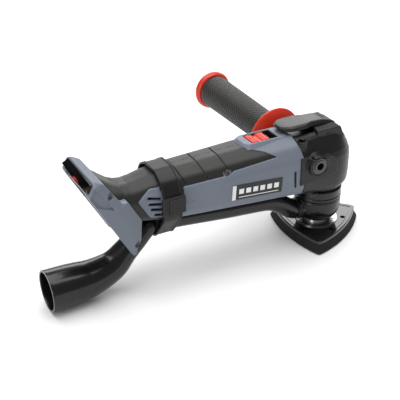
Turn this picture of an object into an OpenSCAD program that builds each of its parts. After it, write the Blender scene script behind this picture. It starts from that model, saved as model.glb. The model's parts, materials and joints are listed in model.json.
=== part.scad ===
// Cordless oscillating multi-tool, bare, with side handle, dust extraction and delta sanding pad.
// +X points to the head, +Y to the side handle, +Z up. The origin is on the sanding sole,
// under the spindle axis. All lengths are in millimetres.

/* [Body] */
// Height of the motor axis above the sanding sole
axis_h = 99.5; // [96:0.5:124]
// Distance from the spindle axis back to the joint of shells and gear housing
joint_x = 45; // [44:1:56]
// Distance from the spindle axis back to the narrowest place of the neck
neck_x = 225; // [215:1:275]
// Width of the shells at the joint
body_w = 64; // [53:1:80]
// Height of the shells above the motor axis at the joint
body_up = 31; // [26:0.5:38]
// Depth of the shells below the motor axis at the joint
body_down = 34; // [29:0.5:36]
// Width of the neck
neck_w = 48; // [40:1:58]
// Height of the neck above the motor axis
neck_up = 21; // [18:0.5:26]
// Depth of the neck below the motor axis
neck_down = 18; // [15:0.5:20]
// Wall of the shells
shell_wall = 2.2; // [1.8:0.1:3]
// Thickness of the rubber grip on the shells
grip_t = 1.8; // [1.4:0.1:2.4]

/* [Battery foot] */
// Width of the foot
foot_w = 69; // [60:1:84]
// Length of the foot along its battery rails
foot_l = 85; // [74:1:90]
// Thickness of the foot
foot_t = 27; // [24:0.5:30]
// Tilt of the rails from the vertical
foot_tilt = 29; // [24:1:34]
// Width of the battery slot
slot_w = 61; // [52:1:64]
// Depth of the battery slot
slot_d = 11; // [9:0.5:13]

/* [Head] */
// Radius of the head's nose around the spindle axis
nose_r = 31; // [29:0.5:37]
// Radius of the head's neck, which carries the dust collar
neck_r = 22.5; // [21:0.5:27]
// Distance from the motor axis up to the top of the head
head_up = 28; // [26:0.5:34]
// Distance of the handle bosses behind the spindle axis
boss_x = 26.65; // [24:0.5:28]
// Distance of the boss faces from the middle of the tool
boss_y = 38.75; // [36:0.5:46]
// Radius of the side handle's thread
thread_r = 4; // [3:0.5:5]

/* [Clamp lever] */
// Distance of the lever's hinge in front of the spindle axis
hinge_x = 3; // [2:0.5:4]
// Length of the lever behind its hinge
lever_l = 59; // [50:1:70]
// Width of the lever between its lugs
lever_w = 24; // [20:1:27]
// How far the lever opens, in degrees
lever_open = 110; // [90:1:110]

/* [Drive] */
// Radius of the motor
motor_r = 18.5; // [16:0.5:22]
// Length of the motor
motor_l = 60; // [50:1:66]
// Radius of the motor shaft
shaft_r = 2.5; // [2:0.1:3]
// Radius of the spindle where the fork and the lower bearing sit
spindle_r = 7.5; // [7:0.25:9]
// Radius of the drawbar inside the spindle
drawbar_r = 4; // [3.3:0.1:4.5]
// Offset of the eccentric
eccentric_e = 0.7; // [0.5:0.1:0.8]

/* [Side handle] */
// Distance from the middle of the tool to the handle's far end
handle_end = 191; // [165:1:230]
// Radius of the grip at its far end
handle_r = 19.2; // [16:0.2:23]
// Radius of the dished guard next to the head
guard_r = 30.5; // [26:0.5:37]

/* [Dust extraction] */
// Outer radius of the collar
collar_r = 25.4; // [25:0.2:31]
// Outer radius of the hose port
port_r = 21.2; // [17.6:0.2:25.5]
// Wall of the pipe
pipe_wall = 2; // [1.5:0.1:2.4]
// Outer radius of the pipe under the body
pipe_r = 10.5; // [9:0.5:11.5]
// Distance from the narrowest place of the neck back to the end of the hose port
port_back = 87.4; // [80:0.2:110]
// Distance from the narrowest place of the neck forward to the middle of the strap
strap_ahead = 35.5; // [32:0.5:41]
// Width of the strap
strap_w = 20; // [16:1:24]

/* [Sanding pad] */
// Distance from the spindle axis to the corners of the pad
pad_r = 52.8; // [44:0.2:64]
// Thickness of the whole pad
pad_t = 14; // [12:0.5:17]

/* [Hidden] */
$fn = 64;
eps = 0.05;
gap = 0.3;          // clearance between pieces that move past each other
snug = 0.05;        // clearance of running fits and of pieces that are put together
inner = shell_wall + grip_t;
port_x = neck_x + port_back;      // the end of the hose port
strap_x = neck_x - strap_ahead;   // the middle of the strap

module right_half() { rotate([0, 0, 180]) left_half_box(); }
module left_half_box() { translate([-600, 0, -100]) cube([1200, 400, 500]); }

// Axes turned from +Z to +X and to +Y.
module along_x(x, y = 0, z = axis_h) { translate([x, y, z]) rotate([0, 90, 0]) children(); }
module along_y(x, y, z) { translate([x, y, z]) rotate([-90, 0, 0]) children(); }
module both_sides() {
    children();
    mirror([0, 1, 0]) children();
}

// ---- Body form: octagonal sections that taper from the head to the neck ----

// Half of a section in the YZ plane, from the top round to the bottom.
function half_section(w, up, down) = [
    [w * 0.36, up], [w * 0.78, up * 0.74], [w, up * 0.32],
    [w, -down * 0.6], [w * 0.88, -down * 0.9], [w * 0.62, -down]
];
function mirrored(pts) = concat(pts, [for (i = [len(pts) - 1 : -1 : 0]) [-pts[i][0], pts[i][1]]]);

module section(x, w, up, down) {
    translate([x, 0, axis_h])
        rotate([90, 0, 90])
            linear_extrude(0.02)
                polygon(mirrored(half_section(w, up, down)));
}

// Three stations of the body, each grown by g all round; ext lengthens the front one.
strap_half = neck_w / 2 + 3.5;
strap_up = neck_up + 5.5;
strap_down = neck_down + 4.5;
module joint_section(g, ext) {
    section(-joint_x - 0.02 + ext, body_w / 2 + g, body_up + g, body_down + g);
}
module strap_section(g) { section(-strap_x, strap_half + g, strap_up + g, strap_down + g); }
module neck_section(g) { section(-neck_x, neck_w / 2 + g, neck_up + g, neck_down + g); }

// The body from the joint back to the neck.
module body_form(g = 0, ext = 0) {
    hull() {
        joint_section(g, ext);
        strap_section(g);
        neck_section(g);
    }
}

// The body and, behind the neck, the flare into the foot.
flare_l = 24;
module long_form(g = 0, ext = 0) {
    body_form(g, ext);
    hull() {
        neck_section(g);
        section(-neck_x - flare_l, neck_w / 2 + 5 + g, neck_up + 9 + g, neck_down - 6 + g);
    }
}

// ---- Battery foot ----

foot_x = neck_x + 50;
foot_z = axis_h + 30.5;
module in_foot() { translate([-foot_x, 0, foot_z]) rotate([0, 90 - foot_tilt, 0]) children(); }

// The foot's side outline: s runs down along the rails, h from the mouth into the tool.
function foot_outline(g = 0) = [
    [-g, -g], [-8 - g, foot_t * 0.48], [1, foot_t * 0.7 + g], [foot_l * 0.38, foot_t * 0.8 + g],
    [foot_l * 0.41, foot_t + g], [foot_l * 0.72, foot_t + g], [foot_l * 0.92, foot_t * 0.57 + g],
    [foot_l + 1 + g, foot_t * 0.2], [foot_l + g, -g]
];

module foot_form(g = 0) {
    in_foot()
        rotate([90, 0, 0])
            linear_extrude(foot_w + 2 * g, center = true)
                polygon(foot_outline(g));
}

// Room for the battery: a slot with two rail lips along its mouth, open at the upper end.
lip_w = 6;
lip_h = 3;
module battery_slot() {
    in_foot() {
        translate([-20, -slot_w / 2, lip_h]) cube([foot_l + 12, slot_w, slot_d - lip_h]);
        translate([-20, -slot_w / 2 + lip_w, -5]) cube([foot_l + 12, slot_w - 2 * lip_w, 8 + eps]);
    }
}

// ---- Grip region, as seen from the side ----

split_z = axis_h + body_up * 0.3;
module grip_region(g = 0) {
    rotate([90, 0, 0])
        linear_extrude(200, center = true)
            polygon([
                [-neck_x - 26, axis_h + 60], [-joint_x - 54 + g, axis_h + 60],
                [-joint_x - 52 + g, split_z + 18], [-joint_x - 36 + g, split_z + 15],
                [-joint_x - 27 + g, split_z + 9.5 - g], [-joint_x - 50, split_z + 7.5 - g],
                [-joint_x - 76, split_z + 6.5 - g], [-joint_x - 80, split_z + 4.5 - g],
                [-strap_x + strap_w / 2 + 3, split_z + 4 - g], [-strap_x + 3 + g, axis_h - 60],
                [-neck_x - 26, axis_h - 60]
            ]);
}

// Vent panel left free by the grip on both sides of the neck.
vent_x = strap_x + strap_w / 2 - 4;
module vent_outline(g = 0) {
    polygon([
        [-vent_x + 8, axis_h + 15 + g], [-vent_x - 12, axis_h + 14 + g], [-vent_x - 24 - g, axis_h + 6],
        [-vent_x - 12, axis_h - 13 - g], [-vent_x + 8, axis_h - 14 - g]
    ]);
}
module vent_region(g = 0) { rotate([90, 0, 0]) linear_extrude(200, center = true) vent_outline(g); }
module vent_slots() {
    for (i = [0:3])
        translate([-vent_x - 7, 0, axis_h + 8 - 6.2 * i])
            rotate([0, -14, 0])
                cube([15 - 2 * abs(i - 1), 120, 2.6], center = true);
}

// ---- Shells ----

// Screws across the two shells: [x, z], countersunk from the right side.
shell_screw_at = [
    [-joint_x - 83, split_z + 6], [-neck_x + 29, axis_h + 15],
    [-foot_x + 22, foot_z - 5], [-foot_x + 46, axis_h - 31.5]
];
screw_r = 1.6;
screw_head_r = 3;
shell_boss_r = 4.2;

// Half width of the body or the foot where a shell screw goes in.
function side_at(i) = i == 0 ? body_w / 2 - 1 : i == 1 ? neck_w / 2 + 3 : foot_w / 2;
screw_sink = 7;

module screw_bosses() {
    for (p = shell_screw_at) along_y(p[0], -60, p[1]) cylinder(r = shell_boss_r, h = 120);
}
module screw_holes() {
    for (i = [0 : len(shell_screw_at) - 1]) {
        p = shell_screw_at[i];
        along_y(p[0], -side_at(i) + screw_sink, p[1]) cylinder(r = screw_r + snug, h = 2 * side_at(i) - screw_sink - 6);
        along_y(p[0], -side_at(i) - 9, p[1]) cylinder(r = screw_head_r + 0.2, h = screw_sink + 9);
    }
}

motor_front = joint_x + 14;
motor_back = motor_front + motor_l;
rib_w = 3;
module cradle_ribs() {
    for (x = [motor_front + 8, motor_back - 8])
        translate([-x - rib_w, -60, 0])
            cube([rib_w, 120, 2 * axis_h]);
}

switch_x0 = joint_x + 15;     // front of the switch opening
switch_x1 = joint_x + 46;     // rear of the switch opening
switch_w = 19;
foot_wire_r = 5.5;

module shell_pair() {
    difference() {
        union() {
            long_form();
            foot_form();
        }
        difference() {
            long_form(-inner, 5);
            foot_form(-0.01);
            screw_bosses();
            cradle_ribs();
        }
        // grip pocket
        difference() {
            grip_region();
            long_form(-grip_t);
            foot_form();
            vent_region();
        }
        // foot
        battery_slot();
        along_x(-foot_x + 31, 0, axis_h - 3) cylinder(r = foot_wire_r, h = foot_x - neck_x - 28);
        // openings and passages
        along_x(-motor_back - 6) cylinder(r = motor_r + snug, h = motor_l + 8);
        translate([-switch_x1, -switch_w / 2, axis_h + 15]) cube([switch_x1 - switch_x0, switch_w, 60]);
        rod_channel();
        vent_slots();
        both_sides() translate([-joint_x - 7.8, 20, axis_h - 19]) cube([2, 40, 19]);
        screw_holes();
        translate([-joint_x, 0, axis_h]) head_spigot(0.1);
    }
}

module left_shell() {
    color("#8f97a3")
        intersection() {
            shell_pair();
            left_half_box();
        }
}
module right_shell() {
    color("#8f97a3")
        intersection() {
            shell_pair();
            right_half();
        }
}

groove_pitch = 24;
module grip_pair() {
    difference() {
        intersection() {
            long_form();
            grip_region(-snug);
        }
        long_form(-grip_t);
        foot_form(snug);
        vent_region(snug);
        screw_holes();
        difference() {
            for (i = [0:2])
                translate([-joint_x - 84 - groove_pitch * i, 0, axis_h + body_up])
                    rotate([0, -16, 0])
                        cube([1.4, 120, 46], center = true);
            body_form(-grip_t * 0.45);
        }
    }
}
module left_grip() { color("#57534f") intersection() { grip_pair(); left_half_box(); } }
module right_grip() { color("#57534f") intersection() { grip_pair(); right_half(); } }

module shell_screws() {
    color("#2b2b2d")
        for (i = [0 : len(shell_screw_at) - 1]) {
            p = shell_screw_at[i];
            reach = 2 * side_at(i) - screw_sink - 8;
            along_y(p[0], -side_at(i) + screw_sink, p[1]) cylinder(r = screw_r, h = reach);
            along_y(p[0], -side_at(i) + screw_sink - 2.4, p[1])
                difference() {
                    cylinder(r = screw_head_r, h = 2.4);
                    translate([0, 0, -eps]) cylinder(r = 1.4, h = 1.3, $fn = 6);
                }
        }
}

label_t = 0.3;
label_off = 0.1;          // glue line between the label and the shell
label_x = joint_x + 49;
side_taper = (body_w / 2 - neck_w / 2 - 3.5) / (strap_x - joint_x);
side_slope = atan(side_taper);
// Half width of the body at distance x behind the spindle axis.
function side_y(x) = body_w / 2 - (x - joint_x) * side_taper;
module rating_label() {
    color("#1d1d1f")
        translate([-label_x, -side_y(label_x) - label_off, axis_h - 9])
            rotate([0, 0, -side_slope])
                rotate([0, 4, 0])
                    translate([-26.5, -label_t, -8.2])
                        cube([53, label_t, 16.4]);
}

// ---- Switch ----

slide_travel = 8;
slide_l = switch_x1 - switch_x0 - slide_travel - 2;
slide_x1 = switch_x1 - 1;
slide_top = axis_h + body_up + 1.4;
rod_z = axis_h + motor_r + 2.4;
switch_back = motor_back + 33;

module switch_slider() {
    color("#ef4b34")
        difference() {
            translate([-slide_x1, -switch_w / 2 + gap, rod_z + 3.2])
                cube([slide_l, switch_w - 2 * gap, slide_top - rod_z - 3.2]);
            for (i = [0:4])
                translate([-slide_x1 + 3 + i * slide_l / 6, 0, slide_top + 0.3])
                    rotate([0, 45, 0])
                        cube([1.2, 40, 1.2], center = true);
            translate([-slide_x1 + slide_l * 0.5, 0, slide_top + 9])
                rotate([90, 0, 0])
                    cylinder(r = 10, h = 40, center = true);
        }
}

module rod_channel() {
    translate([-switch_back - 2, -4.4, rod_z - 0.5]) cube([switch_back - switch_x0 - 2, 8.8, 4]);
}
module switch_rod() {
    color("#3a3a3c")
        union() {
            translate([-switch_back + 8, -4, rod_z]) cube([switch_back - slide_x1 - 2, 8, 3]);
            translate([-slide_x1 + 1, -4, rod_z]) cube([slide_l - 4, 8, 3.2]);
        }
}

module switch_module() {
    color("#262628")
        difference() {
            translate([-switch_back - 14, -9, axis_h - 6]) cube([28, 18, rod_z - axis_h + 5.6]);
            translate([-switch_back - 20, -12, axis_h - 12]) cube([8, 24, 10]);
        }
}

board_x = neck_x - 31;
module controller_board() {
    color("#2f6b46")
        union() {
            translate([-board_x - 18, -14, axis_h - 8]) cube([36, 28, 1.6]);
            translate([-board_x - 12, -10, axis_h - 6.4]) cube([10, 12, 6]);
            translate([-board_x + 3, -6, axis_h - 6.4]) cube([8, 9, 3]);
            translate([-board_x + 2, 6, axis_h - 6.4]) cylinder(r = 4, h = 9);
        }
}

// ---- Terminals in the foot ----

block_s = 26;
module terminal_block() {
    color("#1b1b1d")
        in_foot()
            difference() {
                translate([block_s, -17, lip_h + 0.4]) cube([24, 34, slot_d - lip_h - 0.4]);
                for (y = [-12, -4, 4, 12])
                    translate([block_s - 1, y - 1, lip_h]) cube([17, 2, slot_d - lip_h - 1]);
            }
}
module terminal_blades() {
    color("#c9a15a")
        in_foot()
            for (y = [-12, -4, 4, 12])
                translate([block_s - 6, y - 0.4, lip_h + 2.2]) cube([21.5, 0.8, slot_d - lip_h - 4]);
}
// Wire bail across the open end of the slot, with a catch on it.
bail_s = 2;
bail_l = 6;
bail_wire = 1;
module terminal_clip() {
    half = slot_w / 2 - lip_w - snug;
    color("#d6d8da")
        in_foot()
            difference() {
                translate([bail_s, -half, lip_h - 2]) cube([bail_l, 2 * half, bail_wire]);
                translate([bail_s + bail_wire, -half + bail_wire, lip_h - 3])
                    cube([bail_l, 2 * (half - bail_wire), 3]);
            }
}
module terminal_button() {
    color("#e2553c")
        in_foot()
            translate([bail_s + bail_wire, slot_w * 0.13, lip_h - 2]) cube([4.5, 7, 3.4]);
}

module battery_leads() {
    for (s = [-1, 1])
        color(s < 0 ? "#b02a20" : "#1a1a1a")
            translate([0, s * 2.4, 0]) {
                x0 = -board_x - 17;
                x1 = -foot_x + 33;
                translate([x1, 0, axis_h - 3])
                    rotate([0, 90, 0])
                        cylinder(r = 1.1, h = x0 - x1, $fn = 16);
            }
}

// ---- Gear housing ----

head_top = axis_h + head_up;
hinge_z = axis_h + 24;
lug_in = lever_w / 2 + gap;
lug_out = lever_w / 2 + 9;
low_z = 49;               // underside of the lower spindle bearing
lower_or = spindle_r + 8.5;
lower_w = 9;
upper_or = 14;
upper_r = spindle_r - 0.5;
upper_w = 8;
upper_z = axis_h + 6;
cavity_y = 17;
neck_top = axis_h - 36;

function nose(r, w, back) = [
    [back, w], [-r * 0.3, w], [r * 0.5, w * 0.78], [r * 0.88, w * 0.42], [r, w * 0.14],
    [r, -w * 0.14], [r * 0.88, -w * 0.42], [r * 0.5, -w * 0.78], [-r * 0.3, -w], [back, -w]
];
module nose_slab(z, r, w, back) { translate([0, 0, z]) linear_extrude(0.02) polygon(nose(r, w, back)); }

module head_spigot(g = 0) {
    translate([-2 - g, 0, 0])
        rotate([0, 90, 0])
            cylinder(r = min(body_w / 2, body_down, body_up) - inner - 1.2 + g, h = 12);
}

module head_form() {
    w = body_w / 2;
    hull() {
        nose_slab(axis_h - body_down, nose_r * 0.82, w * 0.7, -joint_x);
        nose_slab(axis_h - body_down * 0.55, nose_r, w * 1.02, -joint_x);
        nose_slab(axis_h + body_up * 0.3, nose_r, w * 1.02, -joint_x);
        nose_slab(head_top, nose_r * 0.55, w * 0.5, -joint_x);
    }
}

module gear_housing() {
    color("#4b4845")
        difference() {
            union() {
                head_form();
                translate([0, 0, low_z - 4]) cylinder(r = neck_r, h = axis_h - low_z - 20);
                both_sides() along_y(-boss_x, 0, axis_h + 1.6) cylinder(r = 11.5, h = boss_y);
                both_sides() lug();
                translate([-joint_x, 0, axis_h]) head_spigot();
            }
            // gear space, open to the rear wall
            translate([-joint_x + 7, -cavity_y, axis_h - 29]) cube([joint_x + 10, 2 * cavity_y, 35]);
            translate([-joint_x + 7, -cavity_y, axis_h - 5]) cube([fork_x - upper_or - 5.5, 2 * cavity_y, 16.5]);
            along_x(-joint_x - 5) cylinder(r = shaft_r + 3.5, h = 20);
            along_x(-joint_x - 2 - eps) cylinder(r = shaft_bearing_or + 0.02, h = 7 + eps);
            // spindle bearings
            translate([0, 0, low_z - 10]) cylinder(r = lower_or + 0.02, h = 10 + lower_w);
            cylinder(r = lower_or - 2.5, h = axis_h - 20);
            translate([0, 0, upper_z - 1]) cylinder(r = upper_or + 0.02, h = upper_w + 1);
            translate([0, 0, upper_z]) cylinder(r = upper_r + 4, h = upper_w + 2);
            // room for the lever's knuckle and its cam
            translate([hinge_x - knuckle_r - 1, -lug_in, upper_z + upper_w + 1.5])
                cube([60, 2 * lug_in, 60]);
            translate([-joint_x - 5, -lug_in, head_top - 3]) cube([joint_x + 20, 2 * lug_in, 20]);
            along_y(hinge_x, -60, hinge_z) cylinder(r = pin_r + 0.02, h = 120);
            // handle inserts
            both_sides() along_y(-boss_x, cavity_y + 1.5, axis_h + 1.6) cylinder(r = insert_r + 0.02, h = 40);
            // vents in the nose
            for (i = [0:3])
                translate([nose_r - 3, 0, axis_h - 10 + i * 7])
                    rotate([0, 20, 0])
                        cube([8, nose_r * 1.1, 2.2], center = true);
            // screws behind the lugs and under the joint
            head_screw_holes();
            // groove of the dust collar
            translate([0, 0, low_z + 3])
                difference() {
                    cylinder(r = neck_r + 5, h = 2);
                    translate([0, 0, -1]) cylinder(r = neck_r - 0.8, h = 4);
                }
        }
}

lug_h = 10.5;
module lug() {
    translate([0, lug_in, 0])
        rotate([90, 0, 0])
            mirror([0, 0, 1])
                linear_extrude(lug_out - lug_in)
                    polygon([
                        [hinge_x - 21, axis_h + 12], [hinge_x - 21, hinge_z + lug_h - 3],
                        [hinge_x - 18, hinge_z + lug_h], [hinge_x + 2, hinge_z + lug_h],
                        [hinge_x + 9, hinge_z + 2], [hinge_x + 12, axis_h + 12]
                    ]);
}

head_screw_y = 22.5;
head_screw_r = 2.05;
module head_screw_holes() {
    both_sides() translate([-joint_x + 5, head_screw_y, axis_h + 14]) cylinder(r = head_screw_r + snug, h = 40);
}
module head_screws() {
    color("#29292b")
        both_sides()
            translate([-joint_x + 5, head_screw_y, axis_h + 14])
                difference() {
                    cylinder(r = head_screw_r, h = 7);
                    translate([0, 0, 5.4]) cylinder(r = 1.2, h = 3, $fn = 6);
                }
}

insert_r = thread_r + 4.5;
module boss_inserts() {
    color("#77746f")
        both_sides()
            along_y(-boss_x, cavity_y + 1.5, axis_h + 1.6)
                difference() {
                    union() {
                        cylinder(r = insert_r, h = boss_y - cavity_y - 2.3);
                        cylinder(r = thread_r + 2.6, h = boss_y - cavity_y - 1.5);
                    }
                    translate([0, 0, 2]) cylinder(r = thread_r + 0.02, h = 60);
                }
}

// ---- Clamp lever, pin and drawbar ----

pin_r = 2.5;
knuckle_r = 8;
cam_r = 6.5;
drawbar_travel = 2.5;
cam_e = drawbar_travel / (1 - cos(lever_open));
cam_play = 0.55;          // between the cam and the drawbar while the lever is closed
cap_top = hinge_z - cam_r - cam_e * cos(lever_open) - cam_play;
lever_top = hinge_z + 14.5;
lever_wide = lever_w / 2 + 4;

module clamp_lever() {
    color("#3f3d3b")
        difference() {
            union() {
                // tongue and handle plate
                rotate([90, 0, 0])
                    linear_extrude(lever_w, center = true)
                        polygon([
                            [hinge_x - lever_l - 1, lever_top - 1], [hinge_x - lever_l, lever_top - 5],
                            [hinge_x - 20, lever_top - 9.5], [hinge_x - 8, hinge_z + 4],
                            [hinge_x + 7, hinge_z + 3.5], [hinge_x + 5, hinge_z + 8.5],
                            [hinge_x - 3, hinge_z + 11.5], [hinge_x - 20, lever_top]
                        ]);
                translate([0, 0, lever_top - 6.8])
                    linear_extrude(6.4)
                        polygon([
                            [hinge_x - lever_l + 2, lever_w / 2 - 2], [hinge_x - lever_l + 14, lever_wide],
                            [hinge_x - 30, lever_wide], [hinge_x - 24, lever_w / 2 - 1],
                            [hinge_x - 24, -lever_w / 2 + 1], [hinge_x - 30, -lever_wide],
                            [hinge_x - lever_l + 14, -lever_wide], [hinge_x - lever_l + 2, -lever_w / 2 + 2]
                        ]);
                // knuckle
                along_y(hinge_x, -lever_w / 2, hinge_z) cylinder(r = knuckle_r, h = lever_w);
            }
            // the knuckle is cut away around the cam
            difference() {
                along_y(hinge_x, -cam_w / 2 - 0.01, hinge_z) cylinder(r = knuckle_r + 1, h = cam_w + 0.02);
                translate([hinge_x - 60, -60, hinge_z + 4.5]) cube([120, 120, 60]);
            }
            along_y(hinge_x, -60, hinge_z) cylinder(r = pin_r + snug, h = 120);
        }
    color("#3f3d3b") cam();
}

cam_w = 14;
module cam() {
    difference() {
        along_y(
            hinge_x + cam_e * sin(lever_open), -cam_w / 2,
            hinge_z - cam_e * cos(lever_open)
        ) cylinder(r = cam_r, h = cam_w);
        along_y(hinge_x, -60, hinge_z) cylinder(r = pin_r + snug, h = 120);
    }
}

module lever_pin() {
    color("#b9bcc0")
        along_y(hinge_x, -lug_out + 0.5, hinge_z)
            cylinder(r = pin_r, h = 2 * lug_out - 1);
}

module drawbar() {
    color("#a9acb0")
        union() {
            translate([0, 0, hub_top - 1.4 - 3]) cylinder(r1 = 7, r2 = 8.5, h = 1);
            translate([0, 0, hub_top - 1.4 - 2]) cylinder(r = 8.5, h = 2);
            translate([0, 0, hub_top - 2]) cylinder(r = drawbar_r, h = cap_top - hub_top + 1);
            translate([0, 0, cap_top - 1.6]) cylinder(r = spring_r, h = 1.6);
        }
}

spring_z = upper_z + 2;
spring_r = drawbar_r + 1.2;
module clamp_spring() {
    color("#8b8e92")
        difference() {
            translate([0, 0, spring_z]) cylinder(r = spring_r - 0.1, h = cap_top - 1.65 - spring_z);
            translate([0, 0, spring_z - 1]) cylinder(r = drawbar_r + 0.2, h = 40);
        }
}

// ---- Spindle, bearings and fork ----

hub_top = pad_t + 9.5;
flange_t = 4;
module spindle() {
    color("#9a9da1")
        difference() {
            union() {
                translate([0, 0, hub_top]) cylinder(r = 13, h = flange_t);
                translate([0, 0, hub_top]) cylinder(r = spindle_r, h = upper_z - 1 - hub_top);
                translate([0, 0, hub_top]) cylinder(r = upper_r, h = upper_z + upper_w - hub_top);
            }
            translate([0, 0, hub_top - 1]) cylinder(r = drawbar_r + snug, h = 200);
            translate([0, 0, spring_z]) cylinder(r = spring_r + gap, h = 40);
        }
}

module ball_bearing(ri, ro, w) {
    difference() {
        cylinder(r = ro, h = w);
        translate([0, 0, -1]) cylinder(r = ri, h = w + 2);
        for (z = [-1, w - 0.6])
            translate([0, 0, z])
                difference() {
                    cylinder(r = ri + (ro - ri) * 0.72, h = 1.6);
                    cylinder(r = ri + (ro - ri) * 0.3, h = 1.6);
                }
    }
}
module lower_bearing() { color("#b4b7bb") translate([0, 0, low_z]) ball_bearing(spindle_r, lower_or, lower_w); }
module upper_bearing() { color("#b4b7bb") translate([0, 0, upper_z]) ball_bearing(upper_r, upper_or, upper_w); }
module bearing_cap() {
    color("#5a5d60")
        translate([0, 0, low_z - 3])
            difference() {
                cylinder(r = lower_or - 0.05, h = 3);
                translate([0, 0, -1]) cylinder(r = spindle_r + 1.5, h = 6);
            }
}

fork_x = 33;
cam_bearing_or = 9.5;
fork_gap = cam_bearing_or + 2.1;
fork_wall = 3.6;
module fork() {
    color("#6d7075")
        difference() {
            union() {
                translate([0, 0, axis_h - 11]) cylinder(r = spindle_r + 5, h = 16);
                both_sides()
                    translate([-fork_x - 3.5, fork_gap, axis_h - 8]) cube([fork_x - 7.5, fork_wall, 13]);
                translate([-14, -fork_gap - fork_wall, axis_h - 11])
                    cube([12, 2 * fork_gap + 2 * fork_wall, 16]);
            }
            translate([0, 0, axis_h - 20]) cylinder(r = spindle_r, h = 60);
        }
}

module eccentric() {
    color("#85888c")
        difference() {
            along_x(-fork_x - 4, 0, axis_h + eccentric_e) cylinder(r = shaft_r + 1.5, h = 9);
            along_x(-fork_x - 10) cylinder(r = shaft_r, h = 30);
        }
}
module eccentric_bearing() {
    color("#b4b7bb")
        along_x(-fork_x - 3, 0, axis_h + eccentric_e)
            ball_bearing(shaft_r + 1.5, cam_bearing_or, 6);
}

// ---- Motor ----

can_wall = 1.4;
shaft_bearing_or = 8;
module motor_can() {
    color("#8e9196")
        difference() {
            along_x(-motor_back) cylinder(r = motor_r, h = motor_l);
            along_x(-motor_back - 1) cylinder(r = motor_r - can_wall, h = motor_l - 0.6);
            along_x(-motor_front - 4) cylinder(r = shaft_r + 1.5, h = 10);
            for (a = [0:60:359])
                along_x(-motor_front - 4) rotate([0, 0, a]) translate([11, 0, 0]) cylinder(r = 2.6, h = 10);
        }
}
module motor_magnets() {
    color("#4c4e52")
        along_x(-motor_back + 10)
            difference() {
                cylinder(r = motor_r - can_wall - 0.02, h = motor_l - 20);
                translate([0, 0, -1]) cylinder(r = motor_r - can_wall - 4.4, h = motor_l);
                for (a = [0, 90])
                    rotate([0, 0, a + 45]) cube([10, 60, 3 * motor_l], center = true);
            }
}
module motor_end_cap() {
    color("#2c2c2e")
        difference() {
            along_x(-motor_back - 5.9) cylinder(r = motor_r, h = 5.8);
            along_x(-motor_back - 0.1 - 5) cylinder(r = shaft_bearing_or + 0.02, h = 10);
            along_x(-motor_back - 8) cylinder(r = shaft_r + 1, h = 10);
        }
}
module motor_shaft() {
    color("#c4c7ca")
        along_x(-motor_back - 4.5) cylinder(r = shaft_r, h = motor_back + 4.5 - fork_x + 6);
}
rotor_r = motor_r - can_wall - 5;
rotor_l = motor_l - 26;
module rotor() {
    color("#6b6e72")
        difference() {
            along_x(-motor_back + 15) cylinder(r = rotor_r, h = rotor_l);
            along_x(-motor_back) cylinder(r = shaft_r, h = motor_l);
            for (a = [0:40:359])
                along_x(-motor_back) rotate([0, 0, a]) translate([rotor_r, 0, 0])
                    cube([3, 1.2, 3 * motor_l], center = true);
        }
}
module windings() {
    color("#a5552c")
        for (x = [-motor_back + 9.5, -motor_back + 15.05 + rotor_l])
            along_x(x)
                difference() {
                    cylinder(r = rotor_r - 2, h = 5.4);
                    translate([0, 0, -1]) cylinder(r = shaft_r, h = 12);
                }
}
module commutator() {
    color("#b87345")
        difference() {
            along_x(-motor_back + 2) cylinder(r = 5, h = 7);
            along_x(-motor_back) cylinder(r = shaft_r, h = 20);
        }
}
module brushes() {
    color("#3b3b3d")
        both_sides()
            translate([-motor_back + 3, 5.1, axis_h - 2]) cube([5, motor_r - can_wall - 6, 4]);
}
module shaft_bearings() {
    color("#b4b7bb") {
        along_x(-motor_back - 5.05) ball_bearing(shaft_r, shaft_bearing_or, 5);
        along_x(-joint_x) ball_bearing(shaft_r, shaft_bearing_or, 5);
    }
}
fan_r = min(motor_r - 1.5, body_w / 2 - inner - 6);
module fan() {
    color("#2d2d30")
        along_x(-joint_x - 12)
            difference() {
                union() {
                    cylinder(r = 6, h = 7);
                    cylinder(r = fan_r, h = 1.2);
                    for (a = [0:40:359])
                        rotate([0, 0, a])
                            translate([5, -0.6, 0]) cube([fan_r - 5.4, 1.2, 7]);
                }
                translate([0, 0, -1]) cylinder(r = shaft_r, h = 20);
            }
}

// ---- Side handle ----

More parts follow.
